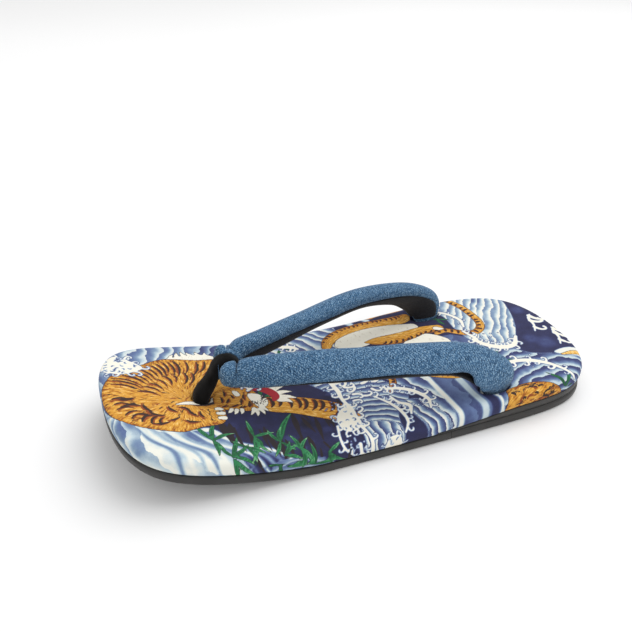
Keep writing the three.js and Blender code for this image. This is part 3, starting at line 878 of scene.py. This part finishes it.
def draw_leaves(cloth):
    sprays = [
        (86, 34, [(-62, 12, 0.3), (-108, 12, 0.3), (-160, 10, 0.9), (118, 7, 0.8), (92, 9, 0.3)]),
        (80, 45.5, [(-112, 12, 0.5), (-142, 10, 0.9), (150, 9, 0.6), (-60, 7, 0.5)]),
        (80, 47, [(132, 14, 1.0), (95, 11, 0.3)]),
        (67, 33.5, [(-88, 11, 0.9), (-172, 9, 0.9), (112, 11, 1.0), (72, 15, 0.8), (100, 8, 0.3)]),
        (56, 39, [(-122, 20, 0.3), (-108, 9, 0.8), (-70, 9, 0.9), (128, 8, 0.3), (60, 9, 0.9)]),
        (57, 48, [(-150, 10, 0.9), (-120, 9, 0.7), (160, 8, 0.9)]),
        (43, 55, [(-60, 14, 0.4), (-92, 11, 0.3), (-178, 11, 1.0), (-20, 9, 0.6)]),
        (60, 52, [(170, 12, 0.9), (100, 8, 0.3), (10, 7, 0.6)]),
        (72, 40, [(100, 9, 1.0), (142, 8, 0.9), (-40, 7, 0.8)]),
        (48, 46, [(-76, 10, 0.9), (-128, 8, 1.0), (122, 8, 0.9), (82, 9, 0.7)]),
        (36, 50, [(142, 10, 0.9), (-150, 8, 1.0), (100, 8, 0.8)]),
        (30, -37, [(60, 7, 0.4), (140, 7, 0.6), (-90, 6, 0.4)]),
        (38, -28, [(120, 9, 0.6), (170, 9, 0.9), (60, 8, 0.3)]),
        (-66, -30, [(-110, 9, 0.5), (-60, 8, 0.4), (100, 7, 0.4), (150, 6, 0.7)]),
        (-100, 50, [(-60, 12, 0.5), (-120, 12, 0.9), (-160, 10, 0.7)]),
        (-74, 20, [(-130, 10, 0.6), (-80, 9, 0.4), (170, 9, 0.8)]),
        (56, 6, [(-100, 11, 0.5), (-150, 10, 0.8), (-60, 9, 0.4)]),
    ]
    for x, y, leaves in sprays:
        draw_spray(cloth, x, y, leaves)


def draw_toe_cat(cloth):
    """The big cat's crouched back that fills the toe."""
    spikes = [(93, -33, -112), (89, -35, -95), (85, -36, -75), (81, -36, -60), (77, -36, -70), (73, -35, -80)]
    draw_pale(cloth, [(96, -33), (84, -37), (72, -37), (68, -30), (80, -28), (92, -29)], (84, -20))
    for x, y, angle in spikes:
        rows = [(x, y, 1.6), (*turned(x, y, angle, 3, 0.4), 0.8), (*turned(x, y, angle, 5, 0), 0.1)]
        draw_stroke(cloth, "pale", rows)
    back = [(68, -32), (80, -32.5), (93, -33.5), (101, -31.5), (109, -26.5), (117, -21.5), (124, -15.5),
            (128, -8), (130, 1)]
    outline = [*back, (129, 9), (126, 16), (120, 21), (113, 24), (105, 26), (97, 27), (88, 24), (79, 22.5),
               (76, 18), (75.5, 12), (78, 7), (84, 7.5), (92, 6), (86, 2), (78, 0), (66, -6), (62, -20)]
    draw_pelt(cloth, outline, (91, 2))
    draw_stroke(cloth, "pale", [(97, 6.6, 0.3), (91, 5.2, 1.3), (85, 4.0, 1.6), (78, 2.6, 1.8), (72, 0, 1.5)])
    draw_stroke(cloth, "line", [(89, 7.0, 0.2), (84, 6.4, 0.9), (79, 5.6, 1.1), (74, 6, 1.6)])
    draw_fan_stripes(cloth, back[:8], (92, 2), 17, 0.40, 0.62)
    inner = [(80, -22), (90, -23), (99, -20), (106, -15), (112, -9), (117, -2)]
    draw_fan_stripes(cloth, inner, (92, 4), 8, 0.42, 0.55, 1.5, 0.16)
    haunch = [(128, 2), (126, 10), (121, 17), (113, 21.5), (104, 24)]
    draw_fan_stripes(cloth, haunch, (100, 6), 8, 0.36, 0.60, 1.0, 0.22)
    marks = [(119, 2, 12, 9, 0.95, 1.0), (117, 8, 4, 9, 0.95, -1.2), (110, 9, -60, 8, 0.9, 1.4),
             (107, 13, -28, 9, 0.85, 1.5), (99, 10, -50, 7, 0.8, 1.2), (94, 11, -40, 8, 0.85, -1.4),
             (90, 13, -62, 8, 0.85, 1.4), (92, 19, -18, 8, 0.8, 1.2), (106, 20, 8, 9, 0.75, 1.0),
             (113, 15, -8, 9, 0.8, -1.0), (100, 17, 20, 7, 0.7, 1.0), (86, 15, -75, 7, 0.7, 1.2)]
    marks = [(x, y, a, l, w * 0.85, b) for x, y, a, l, w, b in marks]
    draw_marks(cloth, "rust", [(x + 0.6, y + 0.5, a, l * 1.1, w * 1.25, b) for x, y, a, l, w, b in marks])
    draw_marks(cloth, "stripe", marks)
    for n in range(3):
        y = 11 + n * 3.6
        draw_marks(cloth, "stripe", [(80, y, 95, 3.4, 0.35, 0.9), (82.5, y + 0.5, 95, 4, 0.35, -0.7)])
        draw_stroke(cloth, "pale", [(79, y, 1.0), (76.8, y + 0.2, 1.3)])
    for _ in range(240):
        x, y = rng.uniform(78, 128), rng.uniform(-32, 24)
        angle = math.degrees(math.atan2(3 - y, 93 - x)) + rng.uniform(-18, 18)
        layer = "rust" if rng.random() < 0.72 else "stripe"
        draw_marks(cloth, layer, [(x, y, angle, rng.uniform(2.0, 4.5), rng.uniform(0.14, 0.36), 0.4)])


def draw_head_cat(cloth):
    """A second cat: its head beside the thong, ruff, collar of crimson and a foreleg in the foam."""
    draw_limb(cloth, [(56, 9, 5.0), (50, 11.5, 6.0), (42, 13.5, 6.4), (35, 17, 6.6), (28, 21.5, 6.8),
                      (21, 27, 6.4), (17, 32, 5.0)], 4.2, side=1, reach=1.35, width=0.95)
    ruff = [(50, -2, 215, 9), (48, 0, 200, 10), (47, 3, 182, 9), (46, 6, 165, 9), (46, 8, 148, 7)]
    for x, y, angle, length in ruff:
        tuft = [(x, y, 1.9), (*turned(x, y, angle, length * 0.5, 0.6), 1.3),
                (*turned(x, y, angle, length, -0.4), 0.15)]
        found, gap, _, _ = cloth.stroke(tuft)
        cloth.put("pale", found, gap, None, cloth.flow_from(found, 55, 5))
    collar = [(58, -3, 1.2), (53, -2.5, 2.3), (49, 1, 2.6), (47.5, 5, 2.2), (49, 8, 1.0)]
    draw_stroke(cloth, "crimson", collar)
    head = [(79, 2), (76, -3), (68, -5), (60, -4), (56, 2), (57, 9), (62, 14), (67, 14), (73, 13), (78, 9)]
    draw_pelt(cloth, head, (60, 5), 0.48)
    draw_pale(cloth, [(61, 1), (56, 1.5), (52.5, 6), (53.5, 11), (57.5, 12.5), (60.5, 7)], (62, 4))
    draw_pale(cloth, [(68, -2.5), (65.6, -2), (65, 1.5), (67.5, 1.6)], (62, 4))
    for x, y, angle, length in [(61, 13, 60, 5.5), (60, 14, 82, 5), (58, 13.6, 104, 5), (57, 12.5, 125, 4.5),
                                (72, 12.4, 48, 3.4), (69.6, 13, 60, 3.6), (67, 13, 70, 3.4)]:
        tuft = [(x, y, 1.1), (*turned(x, y, angle, length * 0.5, 0.3), 0.8),
                (*turned(x, y, angle, length, 0), 0.12)]
        draw_stroke(cloth, "pale", tuft)
    marks = [(73, -1, 80, 6, 0.6, 0.7), (75.5, 4, 85, 6, 0.6, 0.8), (72.5, 5, 60, 5, 0.6, 0.6),
             (70, 9, 20, 6, 0.55, 0.8), (66, 6, 75, 5, 0.6, 0.6), (63, 3, 85, 6, 0.6, -0.7),
             (62.5, 9, 70, 5, 0.9, 0.6), (75, 9, 30, 4, 0.5, 0.5), (69.5, 2, 100, 4, 0.5, 0.4),
             (66, 10.5, 10, 5, 0.55, 0.5), (60, -1.5, 60, 4, 0.5, 0.4)]
    draw_marks(cloth, "rust", [(x - 0.4, y + 0.3, a, l * 1.1, w * 1.3, b) for x, y, a, l, w, b in marks])
    draw_marks(cloth, "stripe", marks)
    for n in range(15):
        angle = 45 + n * 11
        x, y = turned(58, 4.5, angle, rng.uniform(2.0, 4.0), 0)
        draw_stroke(cloth, "line", [(x, y, 0.10), (*turned(x, y, angle, 2.8, 0.4), 0.2)])
    for _ in range(46):
        x, y = rng.uniform(56, 78), rng.uniform(-4, 14)
        angle = math.degrees(math.atan2(y - 5, x - 60)) + rng.uniform(-25, 25)
        draw_marks(cloth, "stripe" if rng.random() < 0.6 else "rust",
                   [(x, y, angle, rng.uniform(1.6, 3.4), rng.uniform(0.14, 0.34), 0.3)])


def draw_curled_cat(cloth):
    """A third cat between the straps: a curled back, pale belly, foreleg and ringed tail."""
    draw_pale(cloth, [(1, -28), (-6, -37), (-17, -40), (-30, -39.5), (-42, -34), (-51, -31), (-50, -24),
                      (-40, -22), (-26, -24), (-16, -22), (-6, -22)], (-24, -90))
    draw_limb(cloth, [(6, -29, 2.6), (2, -35, 3.6), (-7, -40, 3.8), (-21, -41.8, 3.6), (-34, -40.2, 3.8),
                      (-44, -38.6, 4.6), (-50, -40, 3.4)], 2.9, side=1, reach=0.75, width=0.55)
    draw_pale(cloth, [(-36, -15), (-46, -19), (-54, -17), (-61, -8), (-58, -2), (-46, -4), (-36, -10)],
              (-20, -40))
    draw_limb(cloth, [(-17, -25, 1.0), (-24, -23.5, 3.8), (-33, -21.5, 5.0), (-42, -21.3, 4.8),
                      (-52, -22.3, 3.8), (-61, -20.5, 3.6)], 3.2, side=-1, reach=0.8, width=0.6, start=0.2)
    draw_stroke(cloth, "pale", [(-60, -21, 1.6), (-63, -18.5, 1.2)])
    draw_limb(cloth, [(-58, -16, 1.5), (-64, -16.5, 1.8), (-69, -13, 2.1), (-75, -9, 2.2), (-81, -9.2, 2.2),
                      (-86, -13.5, 2.3), (-88, -20, 2.3), (-88, -28, 2.3), (-87, -37, 2.2), (-84, -45, 2.0),
                      (-80, -56, 1.6)], 3.8, side=1, reach=1.7, width=0.75, start=0.02, stop=0.99)
    patch = [(-30, -50, 3.0), (-38, -52, 3.6), (-48, -51, 3.6), (-56, -53, 2.6)]
    draw_limb(cloth, patch, 3.0, side=1, reach=0.9, width=0.7, tone=0.35)


def draw_small_fur(cloth):
    """Bits of tails and fur that show along the outer side."""
    draw_limb(cloth, [(-15.5, 8, 1.5), (-15, 13, 1.8), (-12.5, 18, 1.5), (-9.5, 22, 0.7)], 2.2, 1, 1.4, 0.8)
    draw_limb(cloth, [(-34, 16, 1.3), (-41, 20, 2.0), (-47, 23, 2.0), (-55, 25, 1.4)], 3.0, 1, 1.5, 0.6)
    draw_pelt(cloth, [(-64, 45), (-72, 42.5), (-82, 43), (-92, 47), (-99, 54), (-101, 66), (-64, 66)],
              (-50, 60), 0.5)
    for _ in range(120):
        x, y = rng.uniform(-100, -64), rng.uniform(42, 64)
        layer = "rust" if rng.random() < 0.55 else "stripe"
        mark = (x, y, rng.uniform(140, 225), rng.uniform(3, 7), rng.uniform(0.25, 0.7), 1.0)
        draw_marks(cloth, layer, [mark])
    found, gap, _, _ = cloth.stroke([(-113, 27, 0.5), (-120, 27.5, 1.6), (-128, 29, 1.9), (-140, 29, 2.2)])
    cloth.put("fur", found, gap, 0.80)


def paint_print(points):
    cloth = Print(points)
    draw_water(cloth)
    draw_leaves(cloth)
    draw_small_fur(cloth)
    draw_curled_cat(cloth)
    draw_toe_cat(cloth)
    draw_head_cat(cloth)
    draw_foam(cloth)
    return cloth


# ---------- the footbed's printed cover ----------


def strap_footprint(x, y):
    """Distance outside the strap's hole in the footbed, for either branch."""
    cx, cy = STRAP_HOLE
    half_x, half_y = STRAP_HOLE_HALF
    return (np.hypot((x - cx) / half_x, (np.abs(y) - cy) / half_y) - 1) * half_y


def thong_footprint(x, y):
    half_x, half_y = THONG_HOLE_HALF
    return (np.hypot((x - THONG_HOLE[0]) / half_x, (y - THONG_HOLE[1]) / half_y) - 1) * half_x


def cover_top(x, y, across):
    """The cloth's height: a slight crown, drawn down where the strap and the thong go in."""
    z = footbed_top(x) + 0.5 * (1 - (2 * across - 1) ** 2)
    for distance, dip in ((strap_footprint(x, y), 1.3), (thong_footprint(x, y), 1.4)):
        z = z - dip * np.exp(-(np.clip(distance, 0, None) / 3.2) ** 1.3)
        z = z - 6.2 * smoothstep(-distance, -0.3, 0.5)
    return z


def board_mesh(outline, top_profile, bottom_profile, top, underside, top_height):
    """A board: a top patch, rings down its edge and its lowest ring.

    The profiles hold inset and depth from the top, or inset and height from the underside."""
    across_share = np.linspace(0, 1, outline.across + 1)[None] * np.ones((outline.along + 1, 1))
    patch = coons_patch(*outline.sides(outline.ring(top_profile[0][0])))
    px, py = patch[..., 0], patch[..., 1]
    points = [np.stack([px, py, top_height(px, py, across_share)], 2).reshape(-1, 3)]
    cloth = [patch.reshape(-1, 2)]
    number = np.arange((outline.along + 1) * (outline.across + 1)).reshape(outline.along + 1, -1)
    quads = np.stack([number[:-1, :-1], number[1:, :-1], number[1:, 1:], number[:-1, 1:]], 2)
    faces = quads.reshape(-1, 4).tolist()
    ring = np.concatenate([number[:-1, 0], number[-1, :-1], number[:0:-1, -1], number[0, :0:-1]])
    base = outline.ring(top_profile[0][0])
    last_inset, last_z, run = top_profile[0][0], top(base[:, 0]), np.zeros(len(base))
    levels = [("top", *level) for level in top_profile[1:]] + [("low", *level) for level in bottom_profile]
    count = number.size
    for kind, inset, height in levels:
        loop = outline.ring(inset)
        z = top(loop[:, 0]) - height if kind == "top" else underside(loop[:, 0]) + height
        run = run + np.hypot(last_inset - inset, z - last_z)
        points.append(np.column_stack([loop, z]))
        cloth.append(base + outline.normal * run[:, None])
        fresh = np.arange(count, count + len(loop))
        faces += ring_faces(ring, fresh, flip=True)
        ring, last_inset, last_z = fresh, inset, z
        count += len(loop)
    sides = len(faces)
    tip = outline.along + outline.across // 2
    faces += strip_cap(ring, tip, flip=True)
    return np.concatenate(points), np.concatenate(cloth), faces, sides


COVER_TOP_EDGE = [(5.0, 0.0), (4.0, 0.05), (3.0, 0.18), (2.3, 0.40), (1.6, 0.78), (1.0, 1.30), (0.6, 1.90),
                  (0.3, 2.60), (0.1, 3.40)]
COVER_LOW_EDGE = [(0.0, 3.0), (0.1, 2.2), (0.25, 1.4), (0.55, 0.7), (1.0, 0.25), (1.6, 0.05)]
COVER_GRID = (430, 150)            # cells along and across


def build_cover():
    outline = Outline(*COVER_GRID)
    points, cloth_at, faces, sides = board_mesh(
        outline, COVER_TOP_EDGE, COVER_LOW_EDGE, footbed_top, footbed_underside, cover_top)
    cover = make_object("footbed_cover", points, faces, [printed_cotton_material()])
    print_on = paint_print(cloth_at)
    add_field(cover, "cloth", np.column_stack([cloth_at, np.zeros(len(cloth_at))]))
    for name, values in print_on.layers.items():
        add_field(cover, name, values)
    for name in ("tone", "water_tone", "water_phase", "water_swing"):
        add_field(cover, name, getattr(print_on, name))
    add_field(cover, "flow", np.column_stack([print_on.flow, np.zeros(len(cloth_at))]))
    bake_map(cover, cloth_at, sides)
    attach(cover, "root")
    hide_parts("footbed")
    return cover


def bake_map(piece, flat, sides):
    """A UV map of the flat cloth, with the hidden underside above it."""
    uv = piece.data.uv_layers.new(name="OFBake")
    half_x, half_y = 142.0, 64.0
    loops = np.zeros(len(piece.data.loops), np.int32)
    piece.data.loops.foreach_get("vertex_index", loops)
    starts = np.zeros(len(piece.data.polygons), np.int32)
    piece.data.polygons.foreach_get("loop_start", starts)
    u = (flat[loops, 0] + half_x) / (2 * half_x)
    v = (flat[loops, 1] + half_y) / (2 * half_y) * 0.8
    under = np.arange(len(loops)) >= starts[sides]
    v = np.where(under, 0.82 + v / 0.8 * 0.17, v)
    uv.data.foreach_set("uv", np.stack([u, v], 1).astype(np.float32).ravel())


# ---------- the rubber sole ----------

RUBBER_TOP_EDGE = [(2.2, 0.0), (1.1, 0.05), (0.6, 0.25), (0.3, 0.6), (0.1, 1.0), (0.0, 1.5)]
RUBBER_LOW_EDGE = [(0.0, 1.9), (0.1, 1.2), (0.3, 0.7), (0.6, 0.25), (1.0, 0.0), (2.2, 0.0)]
WEDGE_TOP_EDGE = [(2.2, 0.0), (0.9, 0.03), (0.7, 0.2)]
WEDGE_LOW_EDGE = [(0.75, 0.2), (0.95, 0.03), (2.2, 0.0)]
SOLE_GRID = (200, 64)


def build_sole():
    outline = Outline(*SOLE_GRID)
    rubber = rubber_material("sole_rubber", (0.020, 0.019, 0.018, 1), (0.038, 0.036, 0.034, 1))
    softer = rubber_material("wedge_rubber", (0.026, 0.025, 0.024, 1), (0.050, 0.048, 0.045, 1))
    rows = [
        ("outsole_front", "outsole_fore", "outsole_rubber", rubber, RUBBER_TOP_EDGE, RUBBER_LOW_EDGE,
         outsole_top, sole_underside, OUTSOLE_JOINT_X + GAP / 2, True),
        ("outsole_heel", "heel_lift", "outsole_rubber", rubber, RUBBER_TOP_EDGE, RUBBER_LOW_EDGE,
         outsole_top, sole_underside, OUTSOLE_JOINT_X - GAP / 2, False),
        ("wedge", "heel_wedge", "wedge_rubber", softer, WEDGE_TOP_EDGE, WEDGE_LOW_EDGE,
         wedge_top, wedge_underside, WEDGE_FRONT_X - GAP, False),
    ]
    for name, node, slot, material, top_edge, low_edge, top, underside, cut_x, keep_front in rows:
        points, _, faces, _ = board_mesh(outline, top_edge, low_edge, top, underside,
                                         lambda x, y, across, height=top: height(x))
        piece = make_object(name, points, faces, [material])
        cut_mesh(piece, cut_x, keep_front)
        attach(piece, "root")
        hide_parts(node)


# ---------- the toe thong ----------


def power(value, fullness):
    return np.sign(value) * np.abs(value) ** (2 / fullness)


def thong_frames(steps):
    path = smooth_path(THONG_SECTIONS, steps)
    tangent = np.gradient(path[:, :2], axis=0)
    tangent /= np.linalg.norm(tangent, axis=1)[:, None]
    return path, tangent


def build_thong():
    path, tangent = thong_frames(THONG_STEPS)
    sides = THONG_SIDES
    angle = np.arange(sides) / sides * 2 * np.pi
    y_unit, n_unit = power(np.cos(angle), THONG_FULLNESS), power(np.sin(angle), THONG_FULLNESS)
    rings, cloth = [], []
    run = np.concatenate([[0], np.cumsum(np.hypot(*np.diff(path[:, :2], axis=0).T))])
    for row, t, s in zip(path, tangent, run):
        taper = np.sqrt(max(1 - (max(s - run[-1] + THONG_TIP, 0) / THONG_TIP) ** 2, 0.02))
        seam = 1 - 0.06 * np.exp(-((np.abs(y_unit) - 1) / 0.10) ** 2)
        along = row[3] * taper * n_unit * seam
        rings.append(np.column_stack([row[0] - t[1] * along, row[2] * taper * y_unit, row[1] + t[0] * along]))
        cloth.append(np.column_stack([np.full(sides, s), angle * row[2], np.zeros(sides)]))
    points = np.concatenate(rings)
    faces = []
    for n in range(len(rings) - 1):
        low = np.arange(n * sides, (n + 1) * sides)
        faces += ring_faces(low, low + sides)
    last = len(points) - sides
    faces += strip_cap(np.arange(sides), 0) + strip_cap(np.arange(last, last + sides), 0)
    thong = make_object("toe_thong_velvet", points, faces, [velvet_material()])
    fix_normals(thong)
    add_field(thong, "cloth", np.concatenate(cloth))
    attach(thong, "root")
    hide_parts("toe_thong")


def clear_of_thong(points, centres, clearance=0.35):
    """Draws strap points in towards their own centres until they lie outside the thong."""
    path, tangent = thong_frames(THONG_STEPS)
    reach = np.nonzero((points[:, 0] > 60) & (np.abs(points[:, 1]) < 8))[0]
    p, c = points[reach], centres[reach]
    direction = (c - p) / np.maximum(np.linalg.norm(c - p, axis=1), 0.01)[:, None]
    for _ in range(48):
        away = p[:, None, [0, 2]] - path[None, :, :2]
        nearest = (away ** 2).sum(2).argmin(1)
        pick = np.arange(len(p))
        a, t, row = away[pick, nearest], tangent[nearest], path[nearest]
        over = np.abs(a[:, 1] * t[:, 0] - a[:, 0] * t[:, 1]) / (row[:, 3] + clearance)
        beside = np.abs(p[:, 1]) / (row[:, 2] + clearance)
        beyond = np.abs((a * t).sum(1)) > 1.2
        inside = (over ** THONG_FULLNESS + beside ** THONG_FULLNESS < 1) & ~beyond
        if not inside.any():
            break
        p = p + direction * (0.12 * inside)[:, None]
    points[reach] = p
    return points


# ---------- the strap ----------

DENIM_SIDES = 76
LINING_SIDES = 30
LINING_DEPTH = 0.9
LINING_START, LINING_END = 0.5, 8.7    # in sections from the strap's point

# Folds in the denim: place along in sections, angle round the band, how far the fold reaches before
# and after that place, its spread in degrees, its slant, its depth in mm, and the branch it is on:
# 1 outer, -1 inner, 0 both.
STRAP_FOLDS = [
    (6.52, 180, 0.50, 0.24, 42, 0.10, 4.0, 0),
    (7.35, 168, 0.14, 0.14, 34, -0.20, 0.6, 0),
    (0.92, 6, 0.22, 0.34, 50, 0.10, 4.2, 1),
    (0.80, 62, 0.16, 0.10, 30, -0.20, 1.0, 1),
    (-0.10, 0, 0.40, 0.30, 45, 0.00, 0.6, 1),
    (0.60, 36, 0.10, 0.14, 52, 0.30, 1.5, -1),
    (0.05, 10, 0.50, 0.36, 60, 0.10, -2.2, -1),
    (0.20, 130, 0.14, 0.14, 40, -0.50, 0.5, 0),
    (1.70, 40, 0.16, 0.22, 40, 0.50, 0.5, 0),
]


def strap_rows(steps):
    """Section rows down one branch, with a rounded front end put before them."""
    rows = smooth_path(STRAP_SECTIONS, steps)
    place = np.linspace(0, len(STRAP_SECTIONS) - 1, len(rows))
    centre, across = rows[:, :3], rows[:, 3:6]
    along = np.gradient(centre, axis=0)
    along /= np.linalg.norm(along, axis=1)[:, None]
    through = np.cross(along, across)
    through /= np.linalg.norm(through, axis=1)[:, None]
    across = np.cross(through, along)
    scale = np.ones(len(rows))
    dome = np.sin(np.radians(np.array([88, 80, 70, 60, 50, 40, 30, 20, 10])))
    centre = np.concatenate([centre[0] - along[0] * STRAP_DOME * dome[:, None], centre])
    scale = np.concatenate([np.sqrt(1 - dome ** 2), scale])
    place = np.concatenate([-dome * 0.25, place])
    repeat = [0] * len(dome) + list(range(len(rows)))
    return {"centre": centre, "scale": scale, "place": place, "across": across[repeat],
            "through": through[repeat], "size": rows[repeat, 6:8], "seams": rows[repeat, 8:10]}


def seam_place(angle, seams):
    """How far an angle lies inside the lining's stretch, in degrees; negative outside."""
    return np.minimum(angle - seams[:, :1], seams[:, 1:] - angle)


def band_points(rows, angle, lift):
    """Points round each section at the given angles, lifted off the band's surface."""
    radians = np.radians(angle)
    a = power(np.cos(radians), STRAP_FULLNESS) * (rows["size"][:, :1] + lift) * rows["scale"][:, None]
    b = power(np.sin(radians), STRAP_FULLNESS) * (rows["size"][:, 1:] + lift) * rows["scale"][:, None]
    offset = a[..., None] * rows["across"][:, None] + b[..., None] * rows["through"][:, None]
    return rows["centre"][:, None] + offset


def denim_lift(rows, angle, side):
    inside = seam_place(angle, rows["seams"])
    lift = -LINING_DEPTH * smoothstep(inside, -3.0, 1.5)
    lift -= 0.25 * np.exp(-((inside + 9) / 3.0) ** 2)
    place = rows["place"][:, None]
    for at, turn, before, after, spread, slant, depth, on_branch in STRAP_FOLDS:
        if on_branch not in (0, side):
            continue
        shift = ((angle - turn + 180) % 360 - 180) / spread
        away = place - at - slant * shift
        across = np.where(away < 0, away / before, away / after)
        lift -= depth * np.exp(-across ** 2 - shift ** 2)
        if before < 0.2:
            lift += 0.3 * depth * np.exp(-((np.abs(across) - 1.9) / 0.9) ** 2 - shift ** 2)
    gathers = np.sin(place * 2 * np.pi * 3.1 + 1.3 * np.sin(place * 5))
    pucker = 0.10 * gathers * np.exp(-((inside + 14) / 16) ** 2)
    return lift + pucker + 0.12 * np.sin(place * 4.1 + np.radians(angle) * 2)


def branch(rows, angle, lift, side):
    """Points and cloth places of one branch; side is 1 for the outer one, -1 for the inner one."""
    points = band_points(rows, angle, lift)
    points[..., 1] = np.maximum(points[..., 1], 0.2)
    centres = np.broadcast_to(rows["centre"][:, None], points.shape).copy()
    centres[..., 1] = np.maximum(centres[..., 1], 2.5)
    flat = clear_of_thong(points.reshape(-1, 3).copy(), centres.reshape(-1, 3))
    run = np.concatenate([[0], np.cumsum(np.linalg.norm(np.diff(rows["centre"], axis=0), axis=1))])
    radius = rows["size"].mean(1)[:, None]
    cloth = np.stack([run[:, None] + 0 * angle, np.radians(angle) * radius * 1.1, 0 * angle], 2)
    flat[:, 1] *= side
    return flat, cloth.reshape(-1, 3)


def build_denim(rows):
    material = denim_material()
    angle = np.arange(DENIM_SIDES) * 360 / DENIM_SIDES * np.ones((len(rows["place"]), 1))
    points, cloth, faces = [], [], []
    for side in (1, -1):
        start = sum(len(p) for p in points)
        flat, at = branch(rows, angle, denim_lift(rows, angle, side), side)
        points.append(flat)
        cloth.append(at + (0, 200 * (side < 0), 0))
        for n in range(len(angle) - 1):
            low = np.arange(DENIM_SIDES) + start + n * DENIM_SIDES
            faces += ring_faces(low, low + DENIM_SIDES, flip=side < 0)
        for n in (0, len(angle) - 1):
            faces += strip_cap(np.arange(DENIM_SIDES) + start + n * DENIM_SIDES, 0)
    cover = make_object("strap_denim", np.concatenate(points), faces, [material])
    fix_normals(cover)
    add_field(cover, "cloth", np.concatenate(cloth))
    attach(cover, "root")
    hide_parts("strap")


def build_lining(rows):
    """The dark strip sewn along the foot side of each branch, let into the denim."""
    material = lining_material()
    keep = (rows["place"] > LINING_START) & (rows["place"] < LINING_END)
    rows = {key: value[keep] for key, value in rows.items()}
    share = np.linspace(0, 1, LINING_SIDES)
    edge = 2.2
    low, high = rows["seams"][:, :1] + edge, rows["seams"][:, 1:] - edge
    out = low + (high - low) * share
    angle = np.concatenate([out, out[:, ::-1]], 1)
    rise = 0.30 * (1 - (2 * share - 1) ** 8) - 0.15
    lift = np.concatenate([rise, np.full(LINING_SIDES, -LINING_DEPTH + 0.35)]) * np.ones((len(angle), 1))
    count = 2 * LINING_SIDES
    for side, name in ((1, "strap_lining_outer"), (-1, "strap_lining_inner")):
        flat, at = branch(rows, angle, lift, side)
        faces = []
        for n in range(len(angle) - 1):
            ring = np.arange(count) + n * count
            faces += ring_faces(ring, ring + count)
        for n in (0, len(angle) - 1):
            ring = np.arange(count) + n * count
            faces += [[int(ring[i]), int(ring[i + 1]), int(ring[count - 2 - i]), int(ring[count - 1 - i])]
                      for i in range(LINING_SIDES - 1)]
        strip = make_object(name, flat, faces, [material])
        fix_normals(strip)
        add_field(strip, "cloth", at)
        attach(strip, "root")


# ---------- floor, light and camera ----------

# In millimetres and radians; rounded from a least-squares fit to the photo's edges.
CAMERA_AT = (124.91, 256.11, 221.62)
CAMERA_YAW = -1.95
CAMERA_PITCH = 0.56
CAMERA_ROLL = 0.02
CAMERA_LENS = 37.156
CAMERA_SENSOR = 36
CAMERA_SHIFT = (-0.0033, 0.0163)


def build_camera():
    data = bpy.data.cameras.new("camera")
    data.lens = CAMERA_LENS
    data.sensor_width = CAMERA_SENSOR
    data.shift_x, data.shift_y = CAMERA_SHIFT
    data.clip_start, data.clip_end = 0.01, 20
    camera = bpy.data.objects.new("camera", data)
    bpy.context.scene.collection.objects.link(camera)
    flat = math.cos(CAMERA_PITCH)
    ahead = Vector((math.cos(CAMERA_YAW) * flat, math.sin(CAMERA_YAW) * flat, -math.sin(CAMERA_PITCH)))
    right = ahead.cross(Vector((0, 0, 1))).normalized()
    up = right.cross(ahead)
    c, s = math.cos(CAMERA_ROLL), math.sin(CAMERA_ROLL)
    turn = Matrix((right * c + up * s, up * c - right * s, -ahead)).transposed()
    camera.matrix_world = Matrix.Translation(Vector(CAMERA_AT) * MM) @ turn.to_4x4()
    bpy.context.scene.camera = camera


def build_floor():
    s = Shader("pale_floor")
    shade = s.noise(s.place(), 0.8, 2)
    material = s.finish(s.ramp(shade, [(0.3, (0.88, 0.88, 0.88)), (0.7, (0.91, 0.91, 0.91))]), 0.9,
                        Specular_IOR_Level=0.1)
    size = 3000
    floor = make_object("floor", [(-size, -size, 0), (size, -size, 0), (size, size, 0), (-size, size, 0)],
                        [[0, 1, 2, 3]], [material], smooth=False)


def area_light(name, at, size, power_watts, target=(0, 0, 0)):
    data = bpy.data.lights.new(name, "AREA")
    data.shape = "DISK"
    data.size = size
    data.energy = power_watts
    light = bpy.data.objects.new(name, data)
    bpy.context.scene.collection.objects.link(light)
    light.location = at
    light.rotation_mode = "QUATERNION"
    light.rotation_quaternion = (Vector(target) - Vector(at)).to_track_quat("-Z", "Y")


def build_light():
    bpy.context.scene.view_settings.view_transform = "Standard"
    world = bpy.data.worlds.new("studio")
    bpy.context.scene.world = world
    world.use_nodes = True
    background = world.node_tree.nodes["Background"]
    background.inputs[0].default_value = (1, 1, 1, 1)
    background.inputs[1].default_value = 0.78
    area_light("key", (-1.1, -0.3, 2.3), 2.4, 34)
    area_light("front", (0.4, 2.0, 1.6), 2.0, 6)


build_cover()
build_sole()
build_thong()
strap = strap_rows(STRAP_STEPS)
build_denim(strap)
build_lining(strap)
build_floor()
build_light()
build_camera()
